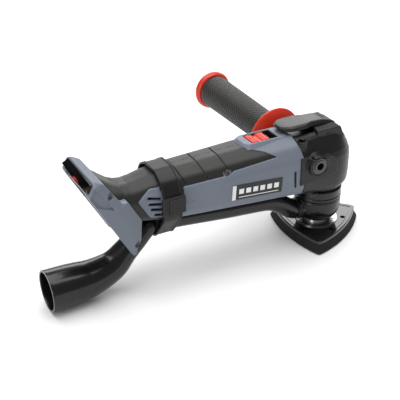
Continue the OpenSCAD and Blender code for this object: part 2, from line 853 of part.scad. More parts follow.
guard_y = 47;
grip_y0 = guard_y + 3;
module handle_core() {
    color("#ee4a30")
        along_y(-boss_x, 0, axis_h + 1.6)
            rotate_extrude()
                polygon([
                    [0, boss_y + 8], [11, boss_y + 8], [11, boss_y + 2], [14, boss_y + 2],
                    [guard_r - 6, guard_y - 3.5], [guard_r - 1, guard_y - 0.5], [guard_r, guard_y + 1],
                    [guard_r - 1.4, guard_y + 2], [guard_r - 7, guard_y], [16, grip_y0 + 1],
                    [handle_r - 6, grip_y0 + 2], [handle_r - 5, handle_end - 9], [handle_r - 5, handle_end - 7],
                    [handle_r + 0.6, handle_end - 8], [handle_r + 3.6, handle_end - 5],
                    [handle_r + 3.6, handle_end - 1.4], [handle_r + 2.4, handle_end],
                    [handle_r - 6, handle_end], [handle_r - 7.5, handle_end - 3], [0, handle_end - 3]
                ]);
}
module handle_grip() {
    color("#4a4946")
        along_y(-boss_x, 0, axis_h + 1.6)
            difference() {
                rotate_extrude()
                    polygon([
                        [handle_r - 6.5, grip_y0 + 2.4], [handle_r - 2.6, grip_y0 + 2.4],
                        [handle_r - 1.6, grip_y0 + 6], [handle_r - 0.4, (grip_y0 + handle_end) / 2],
                        [handle_r, handle_end - 12], [handle_r - 0.4, handle_end - 8.4],
                        [handle_r - 5.6, handle_end - 7.4]
                    ]);
                rotate_extrude()
                    polygon([
                        [0, 0], [handle_r - 6 + snug, 0], [handle_r - 6 + snug, grip_y0 + 2],
                        [handle_r - 5 + snug, handle_end - 9], [handle_r - 5 + snug, handle_end + 20],
                        [0, handle_end + 20]
                    ]);
            }
}
module handle_stud() {
    color("#b9bcc0")
        along_y(-boss_x, boss_y - 14, axis_h + 1.6)
            union() {
                cylinder(r = thread_r, h = 21.9);
                translate([0, 0, 14.3]) cylinder(r = 9, h = 7.6, $fn = 6);
            }
}

// ---- Dust extraction ----

collar_low = low_z - 4;
collar_top = neck_top - 5.5;
hood_low = 19;
hood_r = collar_r - 0.2;
stub_z = 33;
stub_l = 3;
module dust_collar() {
    color("#45413f")
        difference() {
            translate([0, 0, collar_low]) cylinder(r = collar_r, h = collar_top - collar_low);
            translate([0, 0, collar_low - 1]) cylinder(r = neck_r + 0.1, h = 60);
            translate([-60, -1.5, collar_low - 1]) cube([60 - neck_r + 4, 3, 60]);
        }
}
module dust_hood() {
    color("#45413f")
        difference() {
            union() {
                translate([0, 0, hood_low])
                    rotate_extrude()
                        polygon([
                            [0, 0], [hood_r - 6, 0], [hood_r - 2.4, 3], [hood_r, 9],
                            [hood_r, collar_low - hood_low - 0.3], [0, collar_low - hood_low - 0.3]
                        ]);
                along_x(-collar_r - stub_l, 0, stub_z) cylinder(r = pipe_r, h = collar_r);
            }
            translate([0, 0, hood_low - 1]) cylinder(r = 15.5, h = 60);
            translate([0, 0, hood_low + 8]) cylinder(r = neck_r - 1, h = 60);
            along_x(-collar_r - 10, 0, stub_z) cylinder(r = pipe_r - pipe_wall, h = collar_r);
        }
}
module collar_clip() {
    color("#3a3735")
        difference() {
            rotate([0, 0, -134])
                translate([collar_r - 1, 0, collar_top - 5])
                    union() {
                        translate([0, -4, 0]) cube([3, 8, 6.5]);
                        translate([0, -2.6, 3]) cube([4.6, 5.2, 2.4]);
                    }
            cylinder(r = collar_r + 0.01, h = 2 * axis_h);
        }
}

// Axis of the pipe in the XZ plane: x, z and outer radius of each station.
pipe_drop = axis_h - neck_down - 16.5;
port_l = 22;
port_step = 0.35;
pipe_sides = 20;
pipe_route = [
    [-collar_r, stub_z, pipe_r], [-collar_r - 7, stub_z, pipe_r],
    [-collar_r - 14, stub_z + 5, pipe_r], [-collar_r - 27, stub_z + 14, pipe_r],
    [-collar_r - 40, stub_z + 19.5, pipe_r], [-strap_x + 70, pipe_drop - 7, pipe_r],
    [-strap_x + 15, pipe_drop - 0.8, pipe_r], [-strap_x - 10, pipe_drop - 0.4, pipe_r],
    [-neck_x + 18, pipe_drop - 4.6, pipe_r], [-neck_x + 9, pipe_drop - 12, pipe_r + 0.4],
    [-neck_x - 4, pipe_drop - 23.5, pipe_r + 0.8],
    [-neck_x - 17, pipe_drop - 34.5, pipe_r * 0.5 + port_r * 0.4],
    [-neck_x - 29, port_r + 3, pipe_r * 0.4 + port_r * 0.52],
    [-neck_x - 43, port_r, pipe_r * 0.2 + port_r * 0.75],
    [-port_x + port_l + 4, port_r, port_r - port_step], [-port_x + port_l, port_r, port_r - port_step]
];

function cubic(a, b, c, d, t) =
    0.5 * (2 * b + (c - a) * t + (2 * a - 5 * b + 4 * c - d) * t * t + (3 * b - a - 3 * c + d) * t * t * t);
function smooth(pts, steps) = concat(
    [for (i = [0 : len(pts) - 2], j = [0 : steps - 1])
        cubic(pts[max(i - 1, 0)], pts[i], pts[i + 1], pts[min(i + 2, len(pts) - 1)], j / steps)],
    [pts[len(pts) - 1]]
);
function heading(p, i) =
    let (a = p[max(i - 1, 0)], b = p[min(i + 1, len(p) - 1)], l = norm([b[0] - a[0], b[1] - a[1]]))
    [(b[0] - a[0]) / l, (b[1] - a[1]) / l];

// A round tube swept along a path of [x, z, radius] stations.
module swept(path, grow, sides) {
    n = len(path);
    points = [for (i = [0 : n - 1]) let (h = heading(path, i), r = path[i][2] + grow)
        for (k = [0 : sides - 1]) let (a = 360 * k / sides)
            [path[i][0] - h[1] * r * sin(a), r * cos(a), path[i][1] + h[0] * r * sin(a)]];
    walls = [for (i = [0 : n - 2], k = [0 : sides - 1]) let (m = (k + 1) % sides)
        [i * sides + k, (i + 1) * sides + k, (i + 1) * sides + m, i * sides + m]];
    ends = [[for (k = [0 : sides - 1]) k], [for (k = [sides - 1 : -1 : 0]) (n - 1) * sides + k]];
    polyhedron(points = points, faces = concat(walls, ends), convexity = 8);
}
function stretched(path) = let (n = len(path), a = path[0], b = path[n - 1])
    concat([[a[0] + 6, a[1] - 1, a[2]]], path, [[b[0] - 4, b[1], b[2]]]);

module dust_pipe() {
    route = smooth(pipe_route, 2);
    color("#33312f")
        difference() {
            union() {
                swept(route, 0, pipe_sides);
                along_x(-port_x, 0, port_r) cylinder(r = port_r, h = port_l + 1.5);
            }
            swept(stretched(route), -pipe_wall, pipe_sides);
            along_x(-port_x - 1, 0, port_r) cylinder(r = port_r - pipe_wall, h = port_l + 2);
            translate([-collar_r - stub_l - snug, -60, 0]) cube([120, 120, 120]);
        }
}
module pipe_ring() {
    color("#1c1b1a")
        difference() {
            along_x(-collar_r - 4.6, 0, stub_z) cylinder(r = pipe_r + 1, h = 2);
            along_x(-collar_r - 12, 0, stub_z) cylinder(r = pipe_r + 0.05, h = 20);
            swept(smooth([for (i = [0:3]) pipe_route[i]], 2), snug + 0.01, pipe_sides);
        }
}

// ---- Strap ----

module strap_slab(w) { translate([-strap_x - w / 2, -80, 0]) cube([w, 160, 200]); }
// The stretch of pipe under the strap, grown by g.
module pipe_under(g) {
    along_x(-strap_x - strap_w, 0, pipe_drop - 0.6) cylinder(r = pipe_r + g, h = 2 * strap_w, $fn = 32);
}

module pipe_cradle() {
    color("#2c2a29")
        difference() {
            intersection() {
                hull() {
                    pipe_under(snug);
                    section(-strap_x - strap_w, neck_w / 2 - 3, 0, neck_down);
                    section(-strap_x + strap_w, neck_w / 2 - 3, 0, neck_down);
                }
                strap_slab(strap_w);
            }
            body_form(snug);
            pipe_under(0.8);
            translate([-strap_x - 60, -60, 0]) cube([120, 120, pipe_drop - 2]);
        }
}
module strap() {
    color("#242322")
        difference() {
            intersection() {
                hull() {
                    body_slice(2);
                    pipe_under(2.2);
                }
                strap_slab(strap_w);
            }
            hull() {
                body_slice(0.15);
                pipe_under(0.5);
            }
        }
}
module body_slice(g) {
    for (x = [-strap_x - strap_w, -strap_x + strap_w])
        section(x, strap_half + 1.1 + g, strap_up + 0.8 + g, strap_down + 0.9 + g);
}
module strap_buckle() {
    color("#1f1e1d")
        translate([-strap_x, -strap_half - 3.2, axis_h - 1])
            difference() {
                translate([-strap_w / 2 - 2, -3.4, -9]) cube([strap_w + 4, 3.4, 18]);
                translate([-strap_w / 2, -4, -5.5]) cube([strap_w, 2.4, 2]);
                translate([-strap_w / 2, -4, 4]) cube([strap_w, 2.4, 2]);
            }
}

// ---- Sanding pad ----

// Delta outline with bulged sides: three corners on the +X axis and 120 degrees from it.
side_bulge = 8;
module delta(r, bulge) {
    half = r * sin(60);
    sagitta = bulge;
    arc_r = (half * half + sagitta * sagitta) / (2 * sagitta);
    intersection_for(a = [60, 180, 300])
        rotate(a)
            translate([r / 2 + sagitta - arc_r, 0])
                circle(r = arc_r, $fn = 160);
}

// Six holes that pass the dust up to the hood.
dust_hole_at = 29.5;
dust_hole_r = 2.8;
module dust_holes() {
    for (a = [30:60:359])
        rotate(a) translate([dust_hole_at, 0, -1]) cylinder(r = dust_hole_r, h = pad_t + 2);
}

hub_r = 23;
foam_z = 1.2;
plate_z = pad_t - 4;
module pad_hub() {
    color("#c3c6c9")
        difference() {
            union() {
                translate([0, 0, pad_t]) cylinder(r = hub_r, h = 1.3);
                translate([0, 0, pad_t]) cylinder(r = 13, h = hub_top - pad_t);
            }
            translate([0, 0, pad_t - 1]) cylinder(r = 11.6, h = hub_top - pad_t - 0.3);
            // keyhole for the drawbar, open to the front
            cylinder(r = drawbar_r + 0.4, h = 60);
            translate([0, -drawbar_r - 0.4, pad_t + 1.4]) cube([40, 2 * drawbar_r + 0.8, 40]);
            translate([0, -9.2, pad_t + 1.4]) cube([40, 18.4, hub_top - pad_t - 1.4 - 1.3]);
            for (a = [15:30:359])
                rotate(a) translate([hub_r - 4, 0, pad_t - 1]) cylinder(r = 1, h = 4);
        }
}
module pad_plate() {
    color("#1e1d1d")
        difference() {
            translate([0, 0, plate_z]) linear_extrude(pad_t - plate_z) delta(pad_r, side_bulge);
            dust_holes();
        }
}
module pad_foam() {
    color("#3a3a39")
        difference() {
            hull() {
                translate([0, 0, plate_z - 0.02]) linear_extrude(0.02) delta(pad_r, side_bulge);
                translate([0, 0, foam_z]) linear_extrude(0.02) delta(pad_r + 4.4, side_bulge + 0.6);
            }
            dust_holes();
        }
}
module hook_face() {
    color("#55524e")
        difference() {
            linear_extrude(foam_z) delta(pad_r + 4.4, side_bulge + 0.6);
            dust_holes();
        }
}

left_shell();
right_shell();
left_grip();
right_grip();
shell_screws();
rating_label();
switch_slider();
switch_rod();
switch_module();
controller_board();
battery_leads();
terminal_block();
terminal_blades();
terminal_clip();
terminal_button();
gear_housing();
boss_inserts();
head_screws();
clamp_lever();
lever_pin();
drawbar();
clamp_spring();
spindle();
lower_bearing();
upper_bearing();
bearing_cap();
fork();
eccentric();
eccentric_bearing();
motor_can();
motor_magnets();
motor_end_cap();
motor_shaft();
rotor();
windings();
commutator();
brushes();
shaft_bearings();
fan();
handle_core();
handle_grip();
handle_stud();
dust_collar();
dust_hood();
collar_clip();
pipe_ring();
dust_pipe();
pipe_cradle();
strap();
strap_buckle();
pad_hub();
pad_plate();
pad_foam();
hook_face();
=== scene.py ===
# Looks of the cordless oscillating multi-tool: detailed shells, rubber, head, lever, handle,
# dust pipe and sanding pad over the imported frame. Shapes are in millimetres until they become meshes.
import json
import math

import bmesh
import bpy
import numpy as np
from mathutils import Matrix, Vector


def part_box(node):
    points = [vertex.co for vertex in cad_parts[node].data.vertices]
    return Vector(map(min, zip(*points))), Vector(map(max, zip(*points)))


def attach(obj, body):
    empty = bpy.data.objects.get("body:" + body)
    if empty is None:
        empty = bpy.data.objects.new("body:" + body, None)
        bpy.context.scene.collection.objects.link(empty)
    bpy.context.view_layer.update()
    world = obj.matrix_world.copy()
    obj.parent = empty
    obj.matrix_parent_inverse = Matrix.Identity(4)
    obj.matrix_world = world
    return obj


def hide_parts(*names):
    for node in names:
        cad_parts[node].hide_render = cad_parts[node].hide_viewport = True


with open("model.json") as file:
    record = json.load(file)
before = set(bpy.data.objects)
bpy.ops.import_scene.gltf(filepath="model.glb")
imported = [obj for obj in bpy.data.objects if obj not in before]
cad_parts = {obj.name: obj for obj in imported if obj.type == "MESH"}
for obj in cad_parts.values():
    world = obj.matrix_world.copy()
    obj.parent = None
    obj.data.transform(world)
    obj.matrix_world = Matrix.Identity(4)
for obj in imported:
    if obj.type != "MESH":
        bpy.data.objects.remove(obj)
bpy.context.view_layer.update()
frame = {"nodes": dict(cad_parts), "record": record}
nodes = frame["nodes"]
scene = bpy.context.scene

MM = 0.001
VOXEL = 0.5


# ---- Places read from the frame, in millimetres ----

def box_mm(node):
    lo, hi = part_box(node)
    return [v / MM for v in lo], [v / MM for v in hi]


def middle(node, axis):
    lo, hi = box_mm(node)
    return (lo[axis] + hi[axis]) / 2


AXIS = middle("motor_can", 2)
JOINT = -box_mm("left_shell")[1][0]
STRAP = -middle("strap", 0)
STRAP_W = box_mm("strap")[1][0] - box_mm("strap")[0][0]
BOSS_X = middle("boss_inserts", 0)
BOSS_Z = middle("boss_inserts", 2)
BOSS_Y = box_mm("boss_inserts")[1][1]
HINGE_X = middle("lever_pin", 0)
HINGE_Z = middle("lever_pin", 2)
PAD_T = box_mm("pad_plate")[1][2]
PLATE_LOW = box_mm("pad_plate")[0][2]
PAD_R = box_mm("pad_plate")[1][0]
FOAM_LOW = box_mm("hook_face")[1][2]
SOLE_R = box_mm("hook_face")[1][0]
COLLAR_LOW, COLLAR_TOP = box_mm("dust_collar")[0][2], box_mm("dust_collar")[1][2]
COLLAR_R = box_mm("dust_collar")[1][1]
HOOD_LOW = box_mm("dust_hood")[0][2]
PORT_X = -box_mm("dust_pipe")[0][0]
PORT_R = box_mm("dust_pipe")[1][1]
GUARD_R = (box_mm("handle_core")[1][0] - box_mm("handle_core")[0][0]) / 2
HANDLE_END = box_mm("handle_core")[1][1]


# ---- Mesh tools ----

def new_object(name, mesh):
    ob = bpy.data.objects.new(name, mesh)
    scene.collection.objects.link(ob)
    return ob


def make(name, points, faces):
    """A mesh object from points in millimetres, with its normals turned outwards."""
    mesh = bpy.data.meshes.new(name)
    mesh.from_pydata([Vector(p) * MM for p in points], [], faces)
    bm = bmesh.new()
    bm.from_mesh(mesh)
    bmesh.ops.recalc_face_normals(bm, faces=bm.faces)
    bm.to_mesh(mesh)
    bm.free()
    return new_object(name, mesh)


def loft(name, rings):
    """A closed solid through rings that all have the same number of points."""
    n = len(rings[0])
    points = [p for ring in rings for p in ring]
    faces = [
        [i * n + k, i * n + (k + 1) % n, (i + 1) * n + (k + 1) % n, (i + 1) * n + k]
        for i in range(len(rings) - 1)
        for k in range(n)
    ]
    faces.append(list(range(n)))
    faces.append([(len(rings) - 1) * n + k for k in range(n)])
    return make(name, points, faces)


def rounded(points, radius=1.5, steps=4):
    """A closed outline with each corner rounded by a curve."""
    out = []
    for i, corner in enumerate(points):
        b = Vector(corner)
        u = Vector(points[i - 1]) - b
        v = Vector(points[(i + 1) % len(points)]) - b
        reach = min(radius, 0.48 * u.length, 0.48 * v.length)
        start = b + u.normalized() * reach
        end = b + v.normalized() * reach
        for k in range(steps + 1):
            t = k / steps
            out.append(tuple(start * (1 - t) ** 2 + b * 2 * t * (1 - t) + end * t * t))
    return out


def rectangle(a0, a1, b0, b1):
    return [(a0, b0), (a1, b0), (a1, b1), (a0, b1)]


def prism(name, outline, plane, low, high, radius=0.0):
    """An outline in the XY, XZ or YZ plane, extruded along the third axis."""
    if radius:
        outline = rounded(outline, radius)
    order = {"xy": (0, 1, 2), "xz": (0, 2, 1), "yz": (1, 2, 0)}[plane]
    rings = []
    for level in (low, high):
        ring = []
        for a, b in outline:
            p = [0, 0, 0]
            p[order[0]], p[order[1]], p[order[2]] = a, b, level
            ring.append(tuple(p))
        rings.append(ring)
    return loft(name, rings)


def across(name, outline, radius=0.0):
    """A side outline carried through the whole width of the tool."""
    return prism(name, outline, "xz", -90, 90, radius)


def block(name, low, high, turn=None):
    """A box between two corners, turned about its middle by a matrix."""
    ob = prism(name, rectangle(low[0], high[0], low[1], high[1]), "xy", low[2], high[2])
    if turn is not None:
        centre = Vector([(a + b) / 2 * MM for a, b in zip(low, high)])
        ob.data.transform(Matrix.Translation(centre) @ turn.to_4x4() @ Matrix.Translation(-centre))
    return ob


def towards(axis):
    """Rotation that turns +Z to an axis."""
    return Vector((0, 0, 1)).rotation_difference(Vector(axis)).to_matrix()


def turned(name, profile, origin, axis=(0, 0, 1), sides=96, closed=False, bump=None):
    """A profile of (radius, height) turned about an axis. It starts and ends on the axis, or closes on itself."""
    turn = towards(axis)
    points, rings = [], []
    for r, t in profile:
        count = 1 if r < 1e-6 else sides
        rings.append(list(range(len(points), len(points) + count)))
        for k in range(count):
            a = 2 * math.pi * k / sides
            grown = r + (bump(a, t) if bump and count > 1 else 0)
            points.append(turn @ Vector((grown * math.cos(a), grown * math.sin(a), t)) + Vector(origin))
    pairs = list(zip(rings, rings[1:])) + ([(rings[-1], rings[0])] if closed else [])
    faces = []
    for a, b in pairs:
        for k in range(sides):
            quad = [a[k % len(a)], a[(k + 1) % len(a)], b[(k + 1) % len(b)], b[k % len(b)]]
            face = list(dict.fromkeys(quad))
            if len(face) > 2:
                faces.append(face)
    return make(name, points, faces)


def rod(name, start, axis, r, length, sides=40):
    return turned(name, [(0, 0), (r, 0), (r, length), (0, length)], start, axis, sides)


def evaluated(ob):
    """Applies an object's modifiers to its mesh."""
    graph = bpy.context.evaluated_depsgraph_get()
    mesh = bpy.data.meshes.new_from_object(ob.evaluated_get(graph), depsgraph=graph)
    ob.modifiers.clear()
    ob.data = mesh
    return ob


def boolean(ob, tools, operation="DIFFERENCE", keep=False):
    """Cuts, joins or intersects a solid with others, which are then removed."""
    for tool in tools:
        count = len(ob.data.polygons)
        for solver in ("MANIFOLD", "EXACT"):
            m = ob.modifiers.new("cut", "BOOLEAN")
            m.operation = operation
            m.solver = solver
            m.object = tool
            graph = bpy.context.evaluated_depsgraph_get()
            mesh = bpy.data.meshes.new_from_object(ob.evaluated_get(graph), depsgraph=graph)
            ob.modifiers.clear()
            if len(mesh.polygons) > 3:
                ob.data = mesh
                break
        else:
            print("boolean kept", ob.name, tool.name, count)
        if not keep:
            bpy.data.objects.remove(tool)
    return ob


def copied(ob, name):
    return new_object(name, ob.data.copy())


def soften(ob, voxel=1.0, passes=2, faces=30000):
    """Rounds all edges as a moulding has them, and thins the mesh out again."""
    remesh = ob.modifiers.new("remesh", "REMESH")
    remesh.mode = "VOXEL"
    remesh.voxel_size = VOXEL * voxel * MM
    smooth = ob.modifiers.new("smooth", "SMOOTH")
    smooth.factor = 0.5
    smooth.iterations = passes
    evaluated(ob)
    count = len(ob.data.polygons)
    if count * 2 > faces:
        thin = ob.modifiers.new("thin", "DECIMATE")
        thin.ratio = faces / (count * 2)
        evaluated(ob)
    return polish(ob)


def polish(ob, angle=None):
    """Smooth shading, with flat faces kept flat."""
    for p in ob.data.polygons:
        p.use_smooth = True
    if angle:
        ob.data.set_sharp_from_angle(angle=math.radians(angle))
    normals = ob.modifiers.new("normals", "WEIGHTED_NORMAL")
    normals.keep_sharp = True
    normals.weight = 60
    return ob


def break_edges(ob, width, angle, segments=2):
    bevel = ob.modifiers.new("bevel", "BEVEL")
    bevel.width = width * MM
    bevel.segments = segments
    bevel.limit_method = "ANGLE"
    bevel.angle_limit = math.radians(angle)
    bevel.harden_normals = False


def bevelled(ob, width, segments=2, angle=32):
    break_edges(ob, width, angle, segments)
    return polish(ob, angle + 8)


def dress(ob, body, slot, material, *replaced):
    """Puts a finished piece on its body with its material, and hides the CAD parts it replaces. The slot is not used.
    """
    ob.data.materials.clear()
    ob.data.materials.append(material)
    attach(ob, body)
    if replaced:
        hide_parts(*replaced)
    return ob


# ---- Materials ----

def surface(
    name, colour, rough=0.45, metallic=0.0, grain=1400, depth=0.12, spread=0.07, patch=30,
    wear=0.0, coat=0.0, sheen=0.0, specks=0.0, streak=None, specular=0.32,
):
    """A procedural surface: colour patches, grain in relief, uneven roughness and worn edges."""
    mat = bpy.data.materials.new(name)
    mat.use_nodes = True
    tree = mat.node_tree
    tree.nodes.clear()
    link = tree.links.new

    def add(kind, **values):
        node = tree.nodes.new(kind)
        for key, value in values.items():
            node.inputs[key.replace("_", " ")].default_value = value
        return node

    out = add("ShaderNodeOutputMaterial")
    skin = add("ShaderNodeBsdfPrincipled", Metallic=metallic, Coat_Weight=coat, Sheen_Weight=sheen)
    skin.inputs["Specular IOR Level"].default_value = specular
    link(skin.outputs["BSDF"], out.inputs["Surface"])
    coords = add("ShaderNodeTexCoord")
    place = add("ShaderNodeMapping")
    link(coords.outputs["Object"], place.inputs["Vector"])
    if streak:
        place.inputs["Scale"].default_value = streak

    patches = add("ShaderNodeTexNoise", Scale=patch, Detail=4.0, Roughness=0.6)
    link(place.outputs["Vector"], patches.inputs["Vector"])
    tint = tree.nodes.new("ShaderNodeValToRGB")
    low, high = tint.color_ramp.elements
    low.position, high.position = 0.3, 0.72
    low.color = (*[c * (1 - spread) for c in colour], 1)
    high.color = (*[min(c * (1 + spread), 1) for c in colour], 1)
    link(patches.outputs["Fac"], tint.inputs["Fac"])
    colour_out = tint.outputs["Color"]

    fine = add("ShaderNodeTexNoise", Scale=grain, Detail=3.0, Roughness=0.65)
    link(place.outputs["Vector"], fine.inputs["Vector"])

    def blended(base, other, factor_socket):
        mix = tree.nodes.new("ShaderNodeMix")
        mix.data_type = "RGBA"
        link(factor_socket, mix.inputs[0])
        link(base, mix.inputs[6])
        mix.inputs[7].default_value = (*other, 1)
        return mix.outputs[2]

    if specks:
        dots = tree.nodes.new("ShaderNodeValToRGB")
        dots.color_ramp.elements[0].position = 0.60
        dots.color_ramp.elements[1].position = 0.68
        link(fine.outputs["Fac"], dots.inputs["Fac"])
        amount = tree.nodes.new("ShaderNodeMath")
        amount.operation = "MULTIPLY"
        amount.inputs[1].default_value = specks
        link(dots.outputs["Color"], amount.inputs[0])
        colour_out = blended(colour_out, [min(c * 2.2 + 0.02, 1) for c in colour], amount.outputs[0])
    if wear:
        geometry = tree.nodes.new("ShaderNodeNewGeometry")
        edge = tree.nodes.new("ShaderNodeMapRange")
        edge.inputs["From Min"].default_value = 0.53
        edge.inputs["From Max"].default_value = 0.62
        edge.inputs["To Max"].default_value = wear
        link(geometry.outputs["Pointiness"], edge.inputs["Value"])
        broken = tree.nodes.new("ShaderNodeMath")
        broken.operation = "MULTIPLY"
        link(edge.outputs["Result"], broken.inputs[0])
        link(patches.outputs["Fac"], broken.inputs[1])
        colour_out = blended(colour_out, [min(c * 1.5 + 0.05, 1) for c in colour], broken.outputs[0])
    link(colour_out, skin.inputs["Base Color"])

    uneven = tree.nodes.new("ShaderNodeMapRange")
    uneven.inputs["To Min"].default_value = max(rough - 0.07, 0.03)
    uneven.inputs["To Max"].default_value = min(rough + 0.07, 1)
    link(patches.outputs["Fac"], uneven.inputs["Value"])
    link(uneven.outputs["Result"], skin.inputs["Roughness"])

    relief = add("ShaderNodeBump", Strength=depth, Distance=0.0004)
    link(fine.outputs["Fac"], relief.inputs["Height"])
    link(relief.outputs["Normal"], skin.inputs["Normal"])
    return mat


GREY = surface("grey shell", (0.150, 0.172, 0.210), 0.38, grain=1800, depth=0.10, wear=0.5, spread=0.05)
RUBBER = surface("grip rubber", (0.017, 0.016, 0.015), 0.4, grain=1500, depth=0.25, wear=0.4, sheen=0.1)
CASTING = surface("head casting", (0.010, 0.009, 0.009), 0.33, grain=1300, depth=0.16, wear=0.5)
LEVER = surface("lever casting", (0.010, 0.010, 0.009), 0.3, grain=1500, depth=0.12, wear=0.5)
BLACK = surface("black plastic", (0.006, 0.006, 0.006), 0.42, grain=1700, depth=0.14, wear=0.4)
DUCT = surface("duct plastic", (0.006, 0.006, 0.006), 0.24, grain=1200, depth=0.05, wear=0.5, coat=0.2)
ORANGE = surface("orange plastic", (0.56, 0.030, 0.012), 0.30, grain=1600, depth=0.08, coat=0.2, spread=0.05)
HANDLE = surface("handle rubber", (0.017, 0.017, 0.015), 0.42, grain=1500, depth=0.2, wear=0.6, sheen=0.1)
STRAP_SKIN = surface("strap rubber", (0.008, 0.007, 0.007), 0.40, grain=1500, depth=0.15, wear=0.4)
PLATE = surface("pad plate", (0.010, 0.010, 0.010), 0.12, grain=1400, depth=0.03, coat=0.5)
FOAM = surface("pad foam", (0.010, 0.010, 0.010), 0.85, grain=900, depth=0.9, specks=0.35, spread=0.2)
HOOKS = surface("hook fabric", (0.07, 0.064, 0.056), 0.9, grain=1100, depth=1.0, specks=0.5, sheen=0.4)
ZINC = surface("zinc plate", (0.62, 0.63, 0.65), 0.28, metallic=1.0, grain=900, depth=0.05)
DARK_STEEL = surface("dark steel", (0.09, 0.088, 0.085), 0.36, metallic=0.9, grain=1200, depth=0.08)
GROUND = surface("ground steel", (0.58, 0.59, 0.60), 0.22, metallic=1.0, grain=700, depth=0.05, streak=(1, 1, 9))
LAMINATION = surface("laminations", (0.28, 0.29, 0.30), 0.40, metallic=0.9, grain=600, depth=0.3, streak=(8, 1, 1))
COPPER = surface("copper wire", (0.62, 0.26, 0.10), 0.30, metallic=0.9, grain=700, depth=0.6, streak=(1, 6, 1))
BRASS = surface("contact brass", (0.76, 0.58, 0.28), 0.25, metallic=1.0, grain=900, depth=0.05)
CARBON = surface("carbon", (0.03, 0.03, 0.032), 0.6, grain=900, depth=0.2)
BOARD = surface("circuit board", (0.02, 0.13, 0.05), 0.35, grain=500, depth=0.1, spread=0.25, patch=160)
FILM = surface("label film", (0.020, 0.020, 0.021), 0.30, grain=900, depth=0.03)
PRINT = surface("label print", (0.80, 0.80, 0.80), 0.40, grain=900, depth=0.03)
WIRE = surface("wire insulation", (0.40, 0.03, 0.02), 0.4, grain=900, depth=0.05)

SLOT_MATERIALS = {
    "shell_grey": GREY, "grip_rubber": RUBBER, "head_casting": CASTING, "black_plastic": BLACK,
    "duct_plastic": DUCT, "orange_plastic": ORANGE, "handle_rubber": HANDLE, "strap_rubber": STRAP_SKIN,
    "pad_plastic": PLATE, "pad_foam": FOAM, "hook_fabric": HOOKS, "zinc_steel": ZINC,
    "dark_steel": DARK_STEEL, "bearing_steel": GROUND, "lamination": LAMINATION, "copper_wire": COPPER,
    "contact_brass": BRASS, "carbon": CARBON, "circuit_board": BOARD, "label_film": FILM,
    "wire_insulation": WIRE,
}


def dress_cad_nodes():
    """Every CAD node takes the material of its slot."""
    for part in frame["record"]["subparts"]:
        ob = nodes[part["node"]]
        ob.data.materials.clear()
        ob.data.materials.append(SLOT_MATERIALS[part["material_slot"]])


# ---- Body form ----

# Stations behind the spindle: x, half width, height above the axis, depth below it.
STATIONS = [
    (-30, 32.4, 31.3, 35.0), (-JOINT, 32.0, 31.0, 34.0), (-90, 30.6, 29.6, 30.4),
    (-140, 29.1, 28.0, 26.5), (-STRAP, 27.5, 26.5, 22.5), (-204, 25.9, 24.3, 20.6),
    (-216, 24.4, 21.9, 18.8), (-226, 23.9, 20.8, 17.8), (-234, 24.6, 22.2, 16.6),
    (-241, 26.2, 25.2, 15.0), (-247, 28.4, 29.6, 12.8), (-253, 30.2, 34.2, 10.8), (-258, 31.2, 38.0, 9.5),
]


def station_ring(x, w, up, down, g=0.0, radius=3.0):
    w, up, down = w + g, up + g, down + g
    half = [
        (0.36 * w, up), (0.78 * w, 0.74 * up), (w, 0.32 * up),
        (w, -0.6 * down), (0.88 * w, -0.9 * down), (0.62 * w, -down),
    ]
    outline = half + [(-y, z) for y, z in reversed(half)]
    return [(x, y, AXIS + z) for y, z in rounded(outline, radius, 4)]


def body_loft(name, g=0.0, first=0, last=len(STATIONS), radius=3.0):
    return loft(name, [station_ring(*s, g=g, radius=radius) for s in STATIONS[first:last]])


# The joint between shells and head, seen from the side: x and z, from the top down.
JOINT_LINE = [
    (-49.5, AXIS + 40), (-45, AXIS + 26), (-43, AXIS + 18), (-41.8, AXIS + 9), (-41, AXIS), (-40, AXIS - 45),
]


def behind_joint(name, offset=0.0):
    """Everything behind the joint line."""
    line = [(x + offset, z) for x, z in JOINT_LINE]
    return across(name, line + [(-400, AXIS - 45), (-400, AXIS + 40)])


# ---- Battery foot ----

FOOT_TILT = math.radians(29)
FOOT_W = box_mm("left_shell")[1][1]
FOOT_AT = (-275.0, AXIS + 30.5)


def foot_point(s, y, h):
    """A point given along the rails, across the foot, and from its mouth inwards."""
    x = FOOT_AT[0] + s * math.sin(FOOT_TILT) + h * math.cos(FOOT_TILT)
    z = FOOT_AT[1] - s * math.cos(FOOT_TILT) + h * math.sin(FOOT_TILT)
    return (x, y, z)


def foot_prism(name, outline, low, high, radius=0.0):
    if radius:
        outline = rounded(outline, radius)
    return loft(name, [[foot_point(s, y, h) for s, h in outline] for y in (low, high)])


def foot_block(name, s, y, h):
    return foot_prism(name, rectangle(*s, *h), *y)


FOOT_FULL = [(0, 0), (-8, 13), (1, 19), (31, 21.5), (34.5, 27), (61, 27), (78.5, 15.5), (86, 5), (85, 0)]
FOOT_SIDE = [(0.4, 0.3), (-6.2, 11), (2.5, 13.6), (31, 13.8), (35, 14), (62, 14), (75.5, 10), (84, 4.2), (84, 0.3)]


def foot_solid(name):
    rings = []
    for y, outline in [
        (-FOOT_W, FOOT_SIDE), (-FOOT_W + 5.5, FOOT_FULL), (FOOT_W - 5.5, FOOT_FULL), (FOOT_W, FOOT_SIDE)
    ]:
        rings.append([foot_point(s, y, h) for s, h in rounded(outline, 2.0)])
    return loft(name, rings)


# ---- Grip and vent outlines, seen from the side ----

SPLIT = AXIS + 9.3


